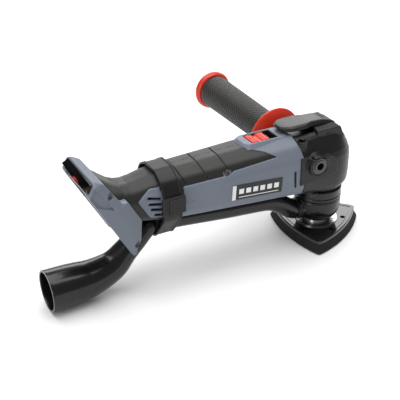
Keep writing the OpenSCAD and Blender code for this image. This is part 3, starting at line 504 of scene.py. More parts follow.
def grip_outline(g=0.0):
    """The rubber's outline, grown by g."""
    return [
        (-262, AXIS + 62), (-JOINT - 55 + g, AXIS + 62), (-JOINT - 53 + g, SPLIT + 18.5),
        (-JOINT - 37 + g, SPLIT + 14.5), (-JOINT - 26 + g, SPLIT + 9 - g), (-JOINT - 50, SPLIT + 7.5 - g),
        (-JOINT - 76, SPLIT + 6 - g), (-JOINT - 80, SPLIT + 3.6 - g), (-JOINT - 131, SPLIT + 3.2 - g),
        (-STRAP + 5 + g, AXIS - 62), (-262, AXIS - 62),
    ]


VENT = [(-190, 116), (-209, 115.5), (-222.5, 106), (-211, 86.5), (-190, 84.5)]


def vent_outline(g=0.0):
    centre = Vector((-205, 100))
    out = []
    for p in VENT:
        v = Vector(p) - centre
        out.append(tuple(centre + v * (1 + g / v.length)))
    return out


# Slits of the vent panel: x, z, length, height, tilt.
VENT_SLITS = [
    (-206, 106.5, 14, 2.8, 10), (-205, 100.5, 15, 2.8, 10), (-203, 94.5, 15, 2.8, 10), (-201, 88.5, 12, 2.8, 10),
]

# Shell screws: x and z, and how far out the shell's side is there.
SCREWS = [
    ((-JOINT - 83, SPLIT + 6), 30.5), ((-196, AXIS + 15), 26.5), ((-253, AXIS + 25.5), 34.5),
    ((-229, AXIS - 32), 34.5),
]
SWITCH_OPENING = rectangle(-91, -60, -9.6, 9.6)


def screw_wells(name, radius=3.3):
    """The wells over the four shell screws, on the near side."""
    return [
        rod(f"{name} {i}", (x, -side - 6, z), (0, 1, 0), radius, 6 + 5.5)
        for i, ((x, z), side) in enumerate(SCREWS)
    ]


def tilted_block(name, centre, size, angle):
    """A box with a tilt about Y, in degrees."""
    low = [c - s / 2 for c, s in zip(centre, size)]
    high = [c + s / 2 for c, s in zip(centre, size)]
    return block(name, low, high, Matrix.Rotation(math.radians(angle), 3, "Y"))


def grooves(name, deep):
    """Diagonal grooves across the rubber, deep from its surface inwards."""
    cutters = []
    for i in range(3):
        cutters.append(tilted_block(f"{name} {i}", (-JOINT - 86 - 24 * i, 0, AXIS + 30), (1.3, 120, 60), -20))
    core = body_loft("groove core", -deep)
    for cutter in cutters:
        boolean(cutter, [core], keep=True)
    bpy.data.objects.remove(core)
    return cutters


def halves(whole, left_name, right_name):
    """Splits a solid along the parting plane."""
    right = copied(whole, right_name)
    whole.name = left_name
    boolean(whole, [block("right side", (-500, -200, -100), (200, -0.12, 300))])
    boolean(right, [block("left side", (-500, 0.12, -100), (200, 200, 300))])
    return whole, right


def beyond_mouth():
    """Everything outside the plane of the foot's mouth."""
    return foot_block("beyond the mouth", (-60, 140), (-60, 60), (-80, 1.0))


def build_shells():
    shell = body_loft("shell")
    boolean(shell, [behind_joint("behind")], "INTERSECT")
    boolean(shell, [beyond_mouth()])
    boolean(shell, [foot_solid("foot")], "UNION")

    pocket = across("pocket", grip_outline(0.3), 1.2)
    boolean(pocket, [body_loft("under grip", -2.2), foot_solid("foot keep"), across("vent keep", VENT, 1.5)])
    boolean(pocket, screw_wells("ring keep", 4.4))
    cutters = [pocket]

    cavity = body_loft("cavity", -4.2, 0, len(STATIONS) - 4)
    cutters.append(cavity)
    # battery slot with its two lips, and the passage of the leads
    cutters.append(foot_block("slot", (-20, 97), (-30.5, 30.5), (3, 11)))
    cutters.append(foot_block("mouth", (-20, 97), (-24.5, 24.5), (-5, 3.5)))
    cutters.append(rod("lead hole", (-246, 0, AXIS - 3), (1, 0, 0), 5.5, 24))
    # facets and rim lines on the foot's cheeks
    facet = [(-3.6, 9.4), (1.8, 12.4), (28, 12.8), (13.8, 1.8), (2.2, 1.6)]
    rim = [(15, 1.1), (81, 2.4), (81, 3.2), (15, 1.9)]
    for side in (-1, 1):
        span = sorted((side * (FOOT_W - 1.7), side * (FOOT_W + 8)))
        cutters.append(foot_prism("facet", facet, *span, 1.0))
        span = sorted((side * (FOOT_W - 0.8), side * (FOOT_W + 8)))
        cutters.append(foot_prism("rim", rim, *span))
        # cooling slot behind the head, and a moulded line in front of the strap
        span = sorted((side * 24, side * 50))
        slot = [(-52.2, 79.6), (-49.6, 79.6), (-50.6, 99), (-53.2, 99)]
        cutters.append(prism("side slot", slot, "xz", *span, 0.8))
        span = sorted((side * 27.4, side * 50))
        line = [(-177, 95.2), (-163, 94.4), (-163, 95.2), (-177, 96.2)]
        cutters.append(prism("line", line, "xz", *span))
        for x, z, length, height, tilt in VENT_SLITS:
            cutters.append(tilted_block("slit", (x, side * 30, z), (length, 30, height), tilt))
    # the switch's opening
    cutters.append(prism("switch opening", SWITCH_OPENING, "xy", 112, 160, 1.4))
    cutters += screw_wells("well")
    boolean(shell, cutters)

    # the raised plateau round the switch
    foot_line = [(-103, -8), (-97, -15.5), (-50, -15.5), (-46, -11)]
    top_line = [(-99, -7), (-94.5, -11.6), (-54, -11.6), (-51, -9)]
    rings = []
    for half, z in ((foot_line, 126.2), (top_line, 130.9)):
        outline = rounded(half + [(x, -y) for x, y in reversed(half)], 1.5)
        rings.append([(x, y, z) for x, y in outline])
    rim = loft("switch rim", rings)
    boolean(rim, [prism("rim hole", SWITCH_OPENING, "xy", 110, 150, 1.4)])
    boolean(shell, [rim], "UNION")

    left, right = halves(shell, "left_shell_moulding", "right_shell_moulding")
    for ob, node in ((left, "left_shell"), (right, "right_shell")):
        soften(ob, 1.0, 2, 70000)
        dress(ob, "housing", "shell_grey", GREY, node)


def build_grips():
    grip = body_loft("grip", -0.55)
    boolean(grip, [across("grip region", grip_outline(-0.15), 1.2)], "INTERSECT")
    cutters = [body_loft("grip inside", -2.1), foot_solid("foot keep"), across("vent free", vent_outline(0.5), 1.5)]
    cutters += grooves("groove", 1.5)
    cutters += screw_wells("grip well", 4.7)
    cutters.append(beyond_mouth())
    boolean(grip, cutters)
    left, right = halves(grip, "left_rubber_grip", "right_rubber_grip")
    for ob, node in ((left, "left_grip"), (right, "right_grip")):
        soften(ob, 0.8, 2, 40000)
        dress(ob, "housing", "grip_rubber", RUBBER, node)


# ---- Head ----

# Levels of the head: z, radius of the nose, half width at the joint.
HEAD_LEVELS = [
    (61.5, 22.6, 16), (64.0, 27.5, 20), (67.0, 29.4, 26), (71.0, 30.2, 29.6), (80.5, 30.5, 32.1), (84.5, 30.5, 32.2),
    (95.0, 30.5, 32.2), (102.0, 29.8, 32.2), (108.0, 27.6, 31.8), (112.5, 25.6, 30.2), (117.0, 23.4, 28.0),
    (121.0, 20.8, 26.0), (124.5, 18.0, 23.8), (127.0, 15.6, 19.6), (128.3, 13.6, 15.5),
]


def head_ring(z, radius, w_back, steps=24):
    side = max(radius, 0.55 * radius + 0.45 * w_back)
    half = [(-60.0, w_back), (-44.0, w_back), (-30.0, (side + w_back) / 2), (-14.0, side)]
    for k in range(steps):
        t = math.pi / 2 * k / steps
        wide = radius + (side - radius) * (1 - k / steps)
        half.append((radius * math.sin(t), wide * math.cos(t)))
    half.append((radius, 0.0))
    return [(x, y, z) for x, y in half] + [(x, -y, z) for x, y in reversed(half[:-1])]


def build_head():
    head = loft("head", [head_ring(*level) for level in HEAD_LEVELS])
    ahead = [(x + 0.35, z) for x, z in JOINT_LINE]
    neck = [(0, 40), (22.5, 40), (22.5, 51), (24.2, 52.5), (24.6, 57), (25.6, 63), (26, 70), (0, 70)]
    joins = [turned("head neck", neck, (0, 0, 5))]
    boolean(head, [across("ahead", ahead + [(80, AXIS - 45), (80, AXIS + 40)])], "INTERSECT")
    for side in (-1, 1):
        boss = [(0, 0), (13.5, 0), (12.2, 14), (11.6, BOSS_Y - 17.2), (10.9, BOSS_Y - 16.5), (0, BOSS_Y - 16.5)]
        joins.append(turned("boss", boss, (BOSS_X, side * 16, BOSS_Z), (0, side, 0), 64))
        lug = [
            (HINGE_X - 25, 118), (HINGE_X - 22.5, HINGE_Z + 5), (HINGE_X - 21.5, HINGE_Z + 9.6),
            (HINGE_X + 2.5, HINGE_Z + 9.8), (HINGE_X + 6.5, HINGE_Z + 7), (HINGE_X + 11.5, 118),
        ]
        low, high = sorted((side * 12.4, side * 20.6))
        lug_ob = prism("lug", lug, "xz", low, high, 0.8)
        # raised cheek round the boss, and the shoulder of the head screw
        cheek = [(-46, 111.5), (-8, 108.0), (-1.6, 99.5), (-0.6, 86.5), (-8, 83.6), (-46, 80.5)]
        low, high = sorted((side * 20, side * 33.6))
        joins.append(prism("cheek", cheek, "xz", low, high, 1.0))
        joins.append(rod("shoulder", (-39.5, side * 22.6, 108), (0, 0, 1), 5.4, 18.6, 40))
        # its top slopes outwards
        slope = block("lug slope", (-60, side * 20.6 - 9, HINGE_Z + 7.5), (60, side * 20.6 + 9, HINGE_Z + 27.5))
        centre = Vector((0, side * 20.6, HINGE_Z + 7.5)) * MM
        tilt = Matrix.Rotation(math.radians(-side * 16), 4, "X")
        slope.data.transform(Matrix.Translation(centre) @ tilt @ Matrix.Translation(-centre))
        joins.append(boolean(lug_ob, [slope]))
    boolean(head, joins, "UNION")

    cutters = []
    # room for the lever between the lugs and above the head
    cutters.append(block("lever room", (-60, -12.4, AXIS + 25), (60, 12.4, AXIS + 60)))
    cutters.append(block("knuckle room", (HINGE_X - 9.5, -12.4, AXIS + 15.5), (60, 12.4, AXIS + 60)))
    # gear space
    cutters.append(block("gear space", (-38, -17, AXIS - 29), (17, 17, AXIS + 6)))
    cutters.append(rod("spindle space", (0, 0, 40), (0, 0, 1), 16.1, 40))
    cutters.append(rod("drawbar space", (0, 0, 70), (0, 0, 1), 10.6, 60))
    for side in (-1, 1):
        cutters.append(rod("insert bore", (BOSS_X, side * 20, BOSS_Z), (0, side, 0), 8.6, 30))
        cutters.append(turned(
            "boss groove", [(9.4, BOSS_Y - 1.3), (10.3, BOSS_Y - 1.3), (10.3, BOSS_Y + 3), (9.4, BOSS_Y + 3)],
            (BOSS_X, 0, BOSS_Z), (0, side, 0), 64, closed=True,
        ))
        cutters.append(rod("head screw well", (-40, side * 22.5, AXIS + 21), (0, 0, 1), 3.3, 30))
        slot = [
            (HINGE_X - 13, HINGE_Z + 2.6), (HINGE_X - 6, HINGE_Z + 3.4),
            (HINGE_X - 6, HINGE_Z + 4.4), (HINGE_X - 13, HINGE_Z + 3.6),
        ]
        low, high = sorted((side * 19.6, side * 26))
        cutters.append(prism("lug mark", slot, "xz", low, high, 0.3))
        # lines above and below the cheek
        for z, tilt, width in ((109.6, 5, 0.9), (82.0, -4, 1.2)):
            cutters.append(tilted_block("crease", (-26, side * 36.8, z), (44, 10, width), tilt))
    # fins round the nose
    for i in range(5):
        z = AXIS - 13.5 + i * 6.0
        cutters.append(fin_gap(f"fin gap {i}", z, 2.7, 27.2 - 0.8 * max(0, i - 2) ** 1.4))
    # seam above the collar
    cutters.append(turned("collar seam", rectangle(21.5, 30, 58.2, 59.6), (0, 0, 0), closed=True))
    boolean(head, cutters)
    head.name = "gear_head"
    soften(head, 0.9, 2, 70000)
    dress(head, "housing", "head_casting", CASTING, "gear_housing")


def fin_gap(name, z, height, inner):
    """A thin slot that follows the nose at one level."""
    steps = 24
    angles = [math.radians(-50 + 100 * k / steps) for k in range(steps + 1)]
    outline = [(inner * math.cos(a), inner * math.sin(a)) for a in angles]
    outline += [(44 * math.cos(a), 44 * math.sin(a)) for a in reversed(angles)]
    return prism(name, outline, "xy", z, z + height)


# ---- Clamp lever ----

# Stations of the lever: x from the hinge, half width, top, underside, all from the hinge axis.
LEVER_STATIONS = [
    (-59.4, 4.6, 13.6, 11.8), (-58.8, 5.6, 14.6, 11.2), (-55.4, 10.6, 15.0, 10.6), (-51, 13.6, 15.2, 10.4),
    (-46, 14.6, 15.2, 10.2), (-31, 14.6, 15.2, 10.0), (-27, 13.4, 15.2, 9.8), (-23.5, 11.9, 15.1, 8.6),
    (-16, 11.7, 14.8, 5.6), (-9, 11.7, 14.2, -2.0), (-3, 11.7, 12.8, -6.0), (2, 11.7, 10.8, -6.4),
    (6, 11.6, 8.6, -4.6), (8.6, 11.3, 5.2, -1.0),
]


def build_lever():
    rings = []
    for x, w, top, low in LEVER_STATIONS:
        shoulder = top - min(2.4, (top - low) * 0.4)
        outline = [
            (0.80 * w, top), (w, shoulder), (w * 0.98, low), (-w * 0.98, low), (-w, shoulder), (-0.80 * w, top),
        ]
        rings.append([(HINGE_X + x, y, HINGE_Z + z) for y, z in rounded(outline, 1.4)])
    lever = loft("lever", rings)
    mark_turn = Matrix.Rotation(0.5, 3, "Z")
    cutters = [
        # hollow under the plate and round the cam
        loft("lever hollow", [
            [(HINGE_X + x, y, HINGE_Z + z) for y, z in ((w, 12.6), (w, 4), (-w, 4), (-w, 12.6))]
            for x, w in ((-54, 7.8), (-49, 11.2), (-30, 11.6), (-25, 9.4), (-19, 9.4))
        ]),
        block("cam gap", (HINGE_X - 10, -7.2, HINGE_Z - 12), (HINGE_X + 12, 7.2, HINGE_Z + 5)),
        block("cam swing", (HINGE_X + 5.2, -7.2, HINGE_Z - 12), (HINGE_X + 12, 7.2, HINGE_Z + 9)),
        rod("pin bore", (HINGE_X, -30, HINGE_Z), (0, 1, 0), 2.55, 60),
        # a thumb line across the tongue
        block("mark", (HINGE_X - 6, -3.0, HINGE_Z + 11.5), (HINGE_X - 5, 3.0, HINGE_Z + 16), mark_turn),
    ]
    boolean(lever, cutters)
    cam = rod("cam", (HINGE_X + 1.75, -7.0, HINGE_Z + 0.64), (0, 1, 0), 6.45, 14.0, 64)
    boolean(cam, [rod("cam bore", (HINGE_X, -30, HINGE_Z), (0, 1, 0), 2.55, 60)])
    boolean(lever, [cam], "UNION")
    lever.name = "quick_clamp_lever"
    soften(lever, 0.8, 2, 36000)
    dress(lever, "lever", "head_casting", LEVER, "clamp_lever")


# ---- Switch and label ----

def build_switch():
    lo, hi = box_mm("switch_slider")
    x0, x1, top, half = lo[0], hi[0], hi[2] - 1.0, hi[1] - 0.8
    length = x1 - x0
    profile = [(x0, lo[2]), (x0, top - 1.0)]
    ribs = 6
    for k in range(49):
        t = k / 48
        dip = -1.7 * math.exp(-((t - 0.52) / 0.13) ** 2)
        rib = 0.30 * math.cos(2 * math.pi * ribs * t) if t < 0.36 or t > 0.68 else 0.0
        profile.append((x0 + 0.8 + (length - 1.6) * t, top - 0.35 + dip + rib))
    profile += [(x1, top - 1.0), (x1, lo[2])]
    slider = prism("slide_button", profile, "xz", -half, half)
    bevelled(slider, 0.35, 2, 50)
    dress(slider, "switch", "orange_plastic", ORANGE, "switch_slider")

    # dark gate that lines the opening
    gate = prism("switch_gate", rectangle(-90.9, -60.1, -9.5, 9.5), "xy", lo[2] + 1.5, 130.2, 1.3)
    boolean(gate, [prism("gate hole", rectangle(-90.3, -60.7, -8.9, 8.9), "xy", lo[2] - 5, 150, 1.0)])
    polish(gate, 40)
    dress(gate, "housing", "black_plastic", BLACK)


def build_label():
    """A dark film with generic bars and squares, which stand for no word or sign."""
    lo, hi = box_mm("rating_label")
    centre = Vector([(a + b) / 2 for a, b in zip(lo, hi)])
    slope = math.atan2(4.5, STRAP - JOINT)
    turn = Matrix.Rotation(-slope, 3, "Z") @ Matrix.Rotation(math.radians(4), 3, "Y")
    half_l, half_t, half_h = 26.5, 0.15, 8.2

    def placed(ob):
        ob.data.transform(Matrix.Translation(centre * MM) @ turn.to_4x4())
        return ob

    film = prism("label_film_sheet", rectangle(-half_l, half_l, -half_h, half_h), "xz", -half_t, half_t, 1.0)
    dress(placed(film), "housing", "label_film", FILM, "rating_label")
    marks = [(-30.5, -26.4, -8.2, 7.6)]
    marks += [(-23 + 8.0 * i, -17.6 + 8.0 * i, -2.2, 3.2) for i in range(6)]
    marks.append((-23, 22.4, -6.2, -5.4))
    bars = [
        prism(f"bar {i}", rectangle(*mark), "xz", -half_t - 0.05, -half_t + 0.02, 0.25)
        for i, mark in enumerate(marks)
    ]
    sheet = joined(bars, "label_bars")
    dress(placed(sheet), "housing", "label_film", PRINT)


def joined(objects, name):
    """Several loose pieces as one object."""
    bm = bmesh.new()
    for ob in objects:
        bm.from_mesh(ob.data)
        bpy.data.objects.remove(ob)
    mesh = bpy.data.meshes.new(name)
    bm.to_mesh(mesh)
    bm.free()
    return new_object(name, mesh)


# ---- Side handle ----

def build_handle():
    core = [
        (0, 46.75), (11, 46.75), (11.2, 40.9), (14, 40.8), (18, 41.2), (GUARD_R - 5, 43.6), (GUARD_R - 1.2, 46.3),
        (GUARD_R - 0.2, 47.4), (GUARD_R, 48.3), (GUARD_R - 0.8, 49.2), (GUARD_R - 2.4, 49.0), (GUARD_R - 7, 46.9),
        (20, 47.4), (17, 49.4), (13.4, 51.8), (13.9, HANDLE_END - 9), (14.0, HANDLE_END - 7.2), (19.9, HANDLE_END - 8),
        (21.6, HANDLE_END - 6.6), (22.7, HANDLE_END - 4.4), (22.8, HANDLE_END - 2.6), (22.2, HANDLE_END - 0.9),
        (20.8, HANDLE_END - 0.1), (18.6, HANDLE_END - 0.2), (16.6, HANDLE_END - 1.4), (14.6, HANDLE_END - 3.2),
        (0, HANDLE_END - 3.4),
    ]
    ob = turned("handle_core_moulding", core, (BOSS_X, 0, BOSS_Z), (0, 1, 0), 128)
    break_edges(ob, 0.5, 25)
    polish(ob, 40)
    dress(ob, "housing", "orange_plastic", ORANGE, "handle_core")

    low, high = 53.0, HANDLE_END - 8.4
    pitch = 5.0
    around = 24

    def diamonds(a, t):
        """Raised diamonds in staggered rows, with smooth bands at both ends."""
        if t < low + 5 or t > high - 5:
            return 0.0
        u = around * a / (2 * math.pi)
        v = (t - low) / pitch
        wave = abs(math.sin(math.pi * (u + v))) * abs(math.sin(math.pi * (u - v)))
        return -0.8 * (1 - min(1.0, wave * 2.0))

    profile = [(13.5, low), (16.0, low), (16.9, low + 0.5), (17.3, low + 1.6)]
    steps = 150
    for k in range(1, steps):
        t = low + 1.6 + (high - low - 3.2) * k / steps
        profile.append((17.3 + 1.9 * (t - low) / (high - low), t))
    profile += [(19.1, high - 1.4), (18.6, high - 0.4), (17.6, high), (13.8, high)]
    grip = turned("handle_grip_moulding", profile, (BOSS_X, 0, BOSS_Z), (0, 1, 0), 224, closed=True, bump=diamonds)
    polish(grip, 60)
    dress(grip, "housing", "handle_rubber", HANDLE, "handle_grip")


# ---- Dust extraction ----

STUB_Z = 33.0
PIPE_R = 10.5
PIPE_WALL = 2.0
DROP = AXIS - 34.5


def pipe_stations():
    """The pipe's route: x, z and outer radius."""
    return [
        (-COLLAR_R - 3.1, STUB_Z, PIPE_R), (-COLLAR_R - 7, STUB_Z + 0.6, PIPE_R), (-COLLAR_R - 14, STUB_Z + 5, PIPE_R),
        (-COLLAR_R - 27, STUB_Z + 14, PIPE_R), (-COLLAR_R - 40, STUB_Z + 19.5, PIPE_R), (-92, DROP - 9.6, PIPE_R),
        (-STRAP + 70, DROP - 7, PIPE_R), (-STRAP + 15, DROP - 0.8, PIPE_R), (-STRAP - 10, DROP - 0.4, PIPE_R),
        (-207, DROP - 4.6, PIPE_R), (-216, DROP - 12, PIPE_R + 1.2), (-229, DROP - 23.5, PIPE_R + 2.2),
        (-241, DROP - 34.5, PIPE_R + 4.4), (-253, PORT_R + 4, PIPE_R + 6.2),
        (-268, PORT_R + 0.6, PORT_R - 2.4), (-280, PORT_R, PORT_R - 1.0), (-PORT_X + 20, PORT_R, PORT_R - 0.3),
        (-PORT_X, PORT_R, PORT_R),
    ]


def cubic(a, b, c, d, t):
    """A smooth curve from b to c."""
    a, b, c, d = (np.array(v, float) for v in (a, b, c, d))
    return 0.5 * (2 * b + (c - a) * t + (2 * a - 5 * b + 4 * c - d) * t**2 + (3 * b - a - 3 * c + d) * t**3)


def smooth_route(stations, steps):
    """Points along a smooth curve through all stations."""
    out = []
    last = len(stations) - 1
    for i in range(last):
        four = [stations[min(max(i + d, 0), last)] for d in (-1, 0, 1, 2)]
        for k in range(steps):
            out.append(cubic(*four, k / steps))
    out.append(np.array(stations[last], float))
    return out


def tube_rings(route, grow, sides):
    """Rings square to the route, with the radius grown by grow."""
    rings = []
    for i, (x, z, r) in enumerate(route):
        ahead = route[min(i + 1, len(route) - 1)] - route[max(i - 1, 0)]
        dx, dz = ahead[0], ahead[1]
        length = math.hypot(dx, dz)
        dx, dz = dx / length, dz / length
        ring = []
        for k in range(sides):
            a = 2 * math.pi * k / sides
            side, rise = (r + grow) * math.cos(a), (r + grow) * math.sin(a)
            ring.append((x - dz * rise, side, z + dx * rise))
        rings.append(ring)
    return rings


def closed_skin(name, rings):
    """A skin through rings, from the last one back to the first."""
    n = len(rings[0])
    faces = []
    for i in range(len(rings)):
        j = (i + 1) % len(rings)
        for k in range(n):
            faces.append([i * n + k, i * n + (k + 1) % n, j * n + (k + 1) % n, j * n + k])
    return make(name, [p for ring in rings for p in ring], faces)


def build_pipe():
    sides = 72
    route = smooth_route(pipe_stations(), 5)
    outer = tube_rings(route, 0, sides)
    inner = tube_rings(route, -PIPE_WALL, sides)
    scale = (PORT_R - 0.5) / PORT_R
    lip = [(-PORT_X, y * scale, PORT_R + (z - PORT_R) * scale) for _, y, z in outer[-1]]
    pipe = closed_skin("dust_pipe_moulding", outer + [lip] + inner[::-1])
    break_edges(pipe, 0.35, 60)
    for face in pipe.data.polygons:
        face.use_smooth = True
    dress(pipe, "housing", "duct_plastic", DUCT, "dust_pipe")
    # a moulding seam along both flanks
    seams = []
    for side in (-1, 1):
        strip = []
        for x, z, r in route[6:-8]:
            y = side * (r + 0.12)
            strip.append([(x, y, z - 0.45), (x, y + side * 0.12, z), (x, y, z + 0.45), (x, y - side * 0.6, z)])
        seams.append(loft("seam", strip))
    seam = joined(seams, "dust_pipe_seams")
    polish(seam, 40)
    dress(seam, "housing", "duct_plastic", DUCT)


def build_hood():
    low, top = HOOD_LOW, COLLAR_LOW - 0.3
    r = COLLAR_R - 0.2
    outside = [
        (0, low), (r - 8.4, low), (r - 7.6, low + 0.4), (r - 5.4, low + 2.4), (r - 3.0, low + 5.6),
        (r - 1.2, low + 9.6),
        (r - 0.3, low + 14), (r, low + 18), (r, top - 1.6), (r - 0.5, top - 1.4), (r - 0.5, top - 0.5),
        (r, top - 0.3), (r, top), (0, top),
    ]
    hood = turned("dust_hood_moulding", outside, (0, 0, 0))
    stub = rod("stub", (-10, 0, STUB_Z), (-1, 0, 0), PIPE_R, COLLAR_R + 3 - 10, 64)
    flange = rod("flange", (-10, 0, STUB_Z), (-1, 0, 0), PIPE_R + 1.3, COLLAR_R - 9.4, 64)
    boolean(hood, [stub, flange], "UNION")
    boolean(hood, [
        rod("hood mouth", (0, 0, low - 1), (0, 0, 1), 15.5, 30, 64),
        rod("hood room", (0, 0, low + 8), (0, 0, 1), 21.5, 40, 64),
        rod("hood duct", (-14, 0, STUB_Z), (-1, 0, 0), PIPE_R - PIPE_WALL, 30, 64),
    ])
    soften(hood, 0.9, 2, 30000)
    dress(hood, "housing", "duct_plastic", DUCT, "dust_hood")

    low, top, r = COLLAR_LOW, COLLAR_TOP, COLLAR_R
    ring = [
        (22.6, low), (r - 0.6, low), (r, low + 0.6), (r, low + 3.2), (r - 0.7, low + 3.6), (r - 0.7, low + 4.2),
        (r, low + 4.6), (r, top - 1.2), (r - 1.0, top), (22.6, top),
    ]
    collar = turned("dust_collar_moulding", ring, (0, 0, 0), closed=True, sides=128)
    boolean(collar, [block("split", (20, -1.4, low - 5), (40, 1.4, top + 5))])
    soften(collar, 0.8, 1, 24000)
    dress(collar, "housing", "duct_plastic", DUCT, "dust_collar")


# ---- Strap and buckle ----

def convex(points):
    """The convex outline round a set of (y, z) points."""
    pts = sorted(set(points))

    def turns_in(a, b, c):
        return (b[0] - a[0]) * (c[1] - a[1]) <= (b[1] - a[1]) * (c[0] - a[0])

    def half(seq):
        out = []
        for p in seq:
            while len(out) > 1 and turns_in(out[-2], out[-1], p):
                out.pop()
            out.append(p)
        return out[:-1]

    return half(pts) + half(pts[::-1])


def strap_outline(g, count=160):
    """The band's run round the body and the pipe, evenly spaced."""
    w, up, down = 27.5 + 1.1 + g, 26.5 + 0.8 + g, 22.5 + 0.9 + g
    ring = [(y, z) for _, y, z in station_ring(0, w, up, down, radius=4.0)]
    for k in range(48):
        a = 2 * math.pi * k / 48
        ring.append(((PIPE_R + 0.5 + g) * math.cos(a), DROP - 0.6 + (PIPE_R + 0.5 + g) * math.sin(a)))
    hull = convex([(round(y, 4), round(z, 4)) for y, z in ring])
    hull = np.array(hull + [hull[0]])
    lengths = np.concatenate([[0], np.cumsum(np.hypot(*np.diff(hull, axis=0).T))])
    at = np.linspace(0, lengths[-1], count, endpoint=False)
    return list(zip(np.interp(at, lengths, hull[:, 0]), np.interp(at, lengths, hull[:, 1])))


def build_strap():
    half = STRAP_W / 2
    profile = [
        (-half, 0.2), (-half, 1.6), (-half + 0.5, 2.1), (-half + 1.6, 2.1), (-half + 2.1, 1.5), (half - 2.1, 1.5),
        (half - 1.6, 2.1), (half - 0.5, 2.1), (half, 1.6), (half, 0.2),
    ]
    strap = closed_skin("rubber_strap", [[(-STRAP + x, y, z) for y, z in strap_outline(g)] for x, g in profile])
    polish(strap, 45)
    dress(strap, "housing", "strap_rubber", STRAP_SKIN, "strap")

    lo, hi = box_mm("strap_buckle")
    side = lo[1]
    body = prism("buckle", rectangle(lo[0], hi[0], lo[2], hi[2]), "xz", side + 0.2, hi[1] + 0.3, 1.6)
    cutters = [
        block("buckle side", (lo[0] - 1, side - 2, lo[2] - 2), (lo[0] + 6.4, side + 1.6, hi[2] + 2)),
        block("buckle step", (lo[0] - 1, side - 2, hi[2] - 3.0), (hi[0] + 1, side + 1.0, hi[2] + 2)),
    ]
    boolean(body, cutters)
    body.name = "strap_buckle_moulding"
    soften(body, 0.6, 1, 16000)
    dress(body, "housing", "black_plastic", BLACK, "strap_buckle")


# ---- Sanding pad ----

def delta_ring(r, bulge, z, count=180, tip=0.0):
    """The pad's outline with bulged sides at one level. tip rounds its corners."""
    half = r * math.sin(math.radians(60))
    arc_r = (half * half + bulge * bulge) / (2 * bulge)
    ring = []
    for k in range(count):
        a = 2 * math.pi * k / count
        reach = 1e9
        for n in (60, 180, 300):
            n = math.radians(n)
            c = Vector((math.cos(n), math.sin(n))) * (r / 2 + bulge - arc_r)
            d = Vector((math.cos(a), math.sin(a)))
            dot = d.dot(c)
            reach = min(reach, dot + math.sqrt(dot * dot - c.length_squared + arc_r * arc_r))
        if tip:
            reach -= tip * max(0.0, (reach - (r - 3.2)) / 3.2) ** 1.5
        ring.append((reach * math.cos(a), reach * math.sin(a), z))
    return ring


def pad_holes(name, low, high, r=2.8):
    return [
        rod(f"{name} {k}", (29.5 * math.cos(a), 29.5 * math.sin(a), low), (0, 0, 1), r, high - low, 32)
        for k, a in enumerate(math.radians(30 + 60 * k) for k in range(6))
    ]


def build_pad():
    top, low = PAD_T, PLATE_LOW
    plate = loft("plate", [
        delta_ring(PAD_R - 0.6, 8, low + 0.05, tip=0.8), delta_ring(PAD_R - 0.1, 8, low + 0.6, tip=0.8),
        delta_ring(PAD_R - 0.1, 8, top - 1.2, tip=0.8), delta_ring(PAD_R - 0.5, 8, top - 0.5, tip=0.8),
        delta_ring(PAD_R - 1.3, 8, top - 0.1, tip=0.8), delta_ring(PAD_R - 3.4, 8, top, tip=0.8),
    ])
    groove = loft("plate groove", [delta_ring(PAD_R - 6.6, 8, top - 0.6), delta_ring(PAD_R - 6.2, 8, top + 1)])
    boolean(groove, [loft("plate land", [delta_ring(PAD_R - 8.6, 8, top - 2), delta_ring(PAD_R - 8.6, 8, top + 3)])])
    boolean(plate, [groove] + pad_holes("plate hole", low - 1, top + 1))
    plate.name = "pad_plate_moulding"
    bevelled(plate, 0.2, 2, 40)
    dress(plate, "spindle", "pad_plastic", PLATE, "pad_plate")

    # levels of the foam: z, and how far its edge has spread
    levels = [
        (low - 0.1, 0.0), (low - 1.2, 0.25), (7.2, 0.75), (5.0, 1.7), (3.2, 2.9), (FOAM_LOW + 0.7, 3.9),
        (FOAM_LOW, 4.3),
    ]
    foam = loft("foam", [delta_ring(PAD_R + g, 8 + g * 0.14, z, 240, tip=0.8) for z, g in levels])
    boolean(foam, pad_holes("foam hole", -1, 20))
    polish(foam, 50)
    foam.name = "pad_foam_cushion"
    dress(foam, "spindle", "pad_foam", FOAM, "pad_foam")

    face = loft("face", [
        delta_ring(SOLE_R - 0.9, 8.6, 0.0, 240, tip=0.8), delta_ring(SOLE_R - 0.25, 8.6, 0.25, 240, tip=0.8),
        delta_ring(SOLE_R - 0.25, 8.6, FOAM_LOW - 0.05, 240, tip=0.8),
    ])
    boolean(face, pad_holes("face hole", -1, 20))
    polish(face, 50)
    face.name = "hook_face_sheet"
    dress(face, "spindle", "hook_fabric", HOOKS, "hook_face")


# ---- Battery bay ----

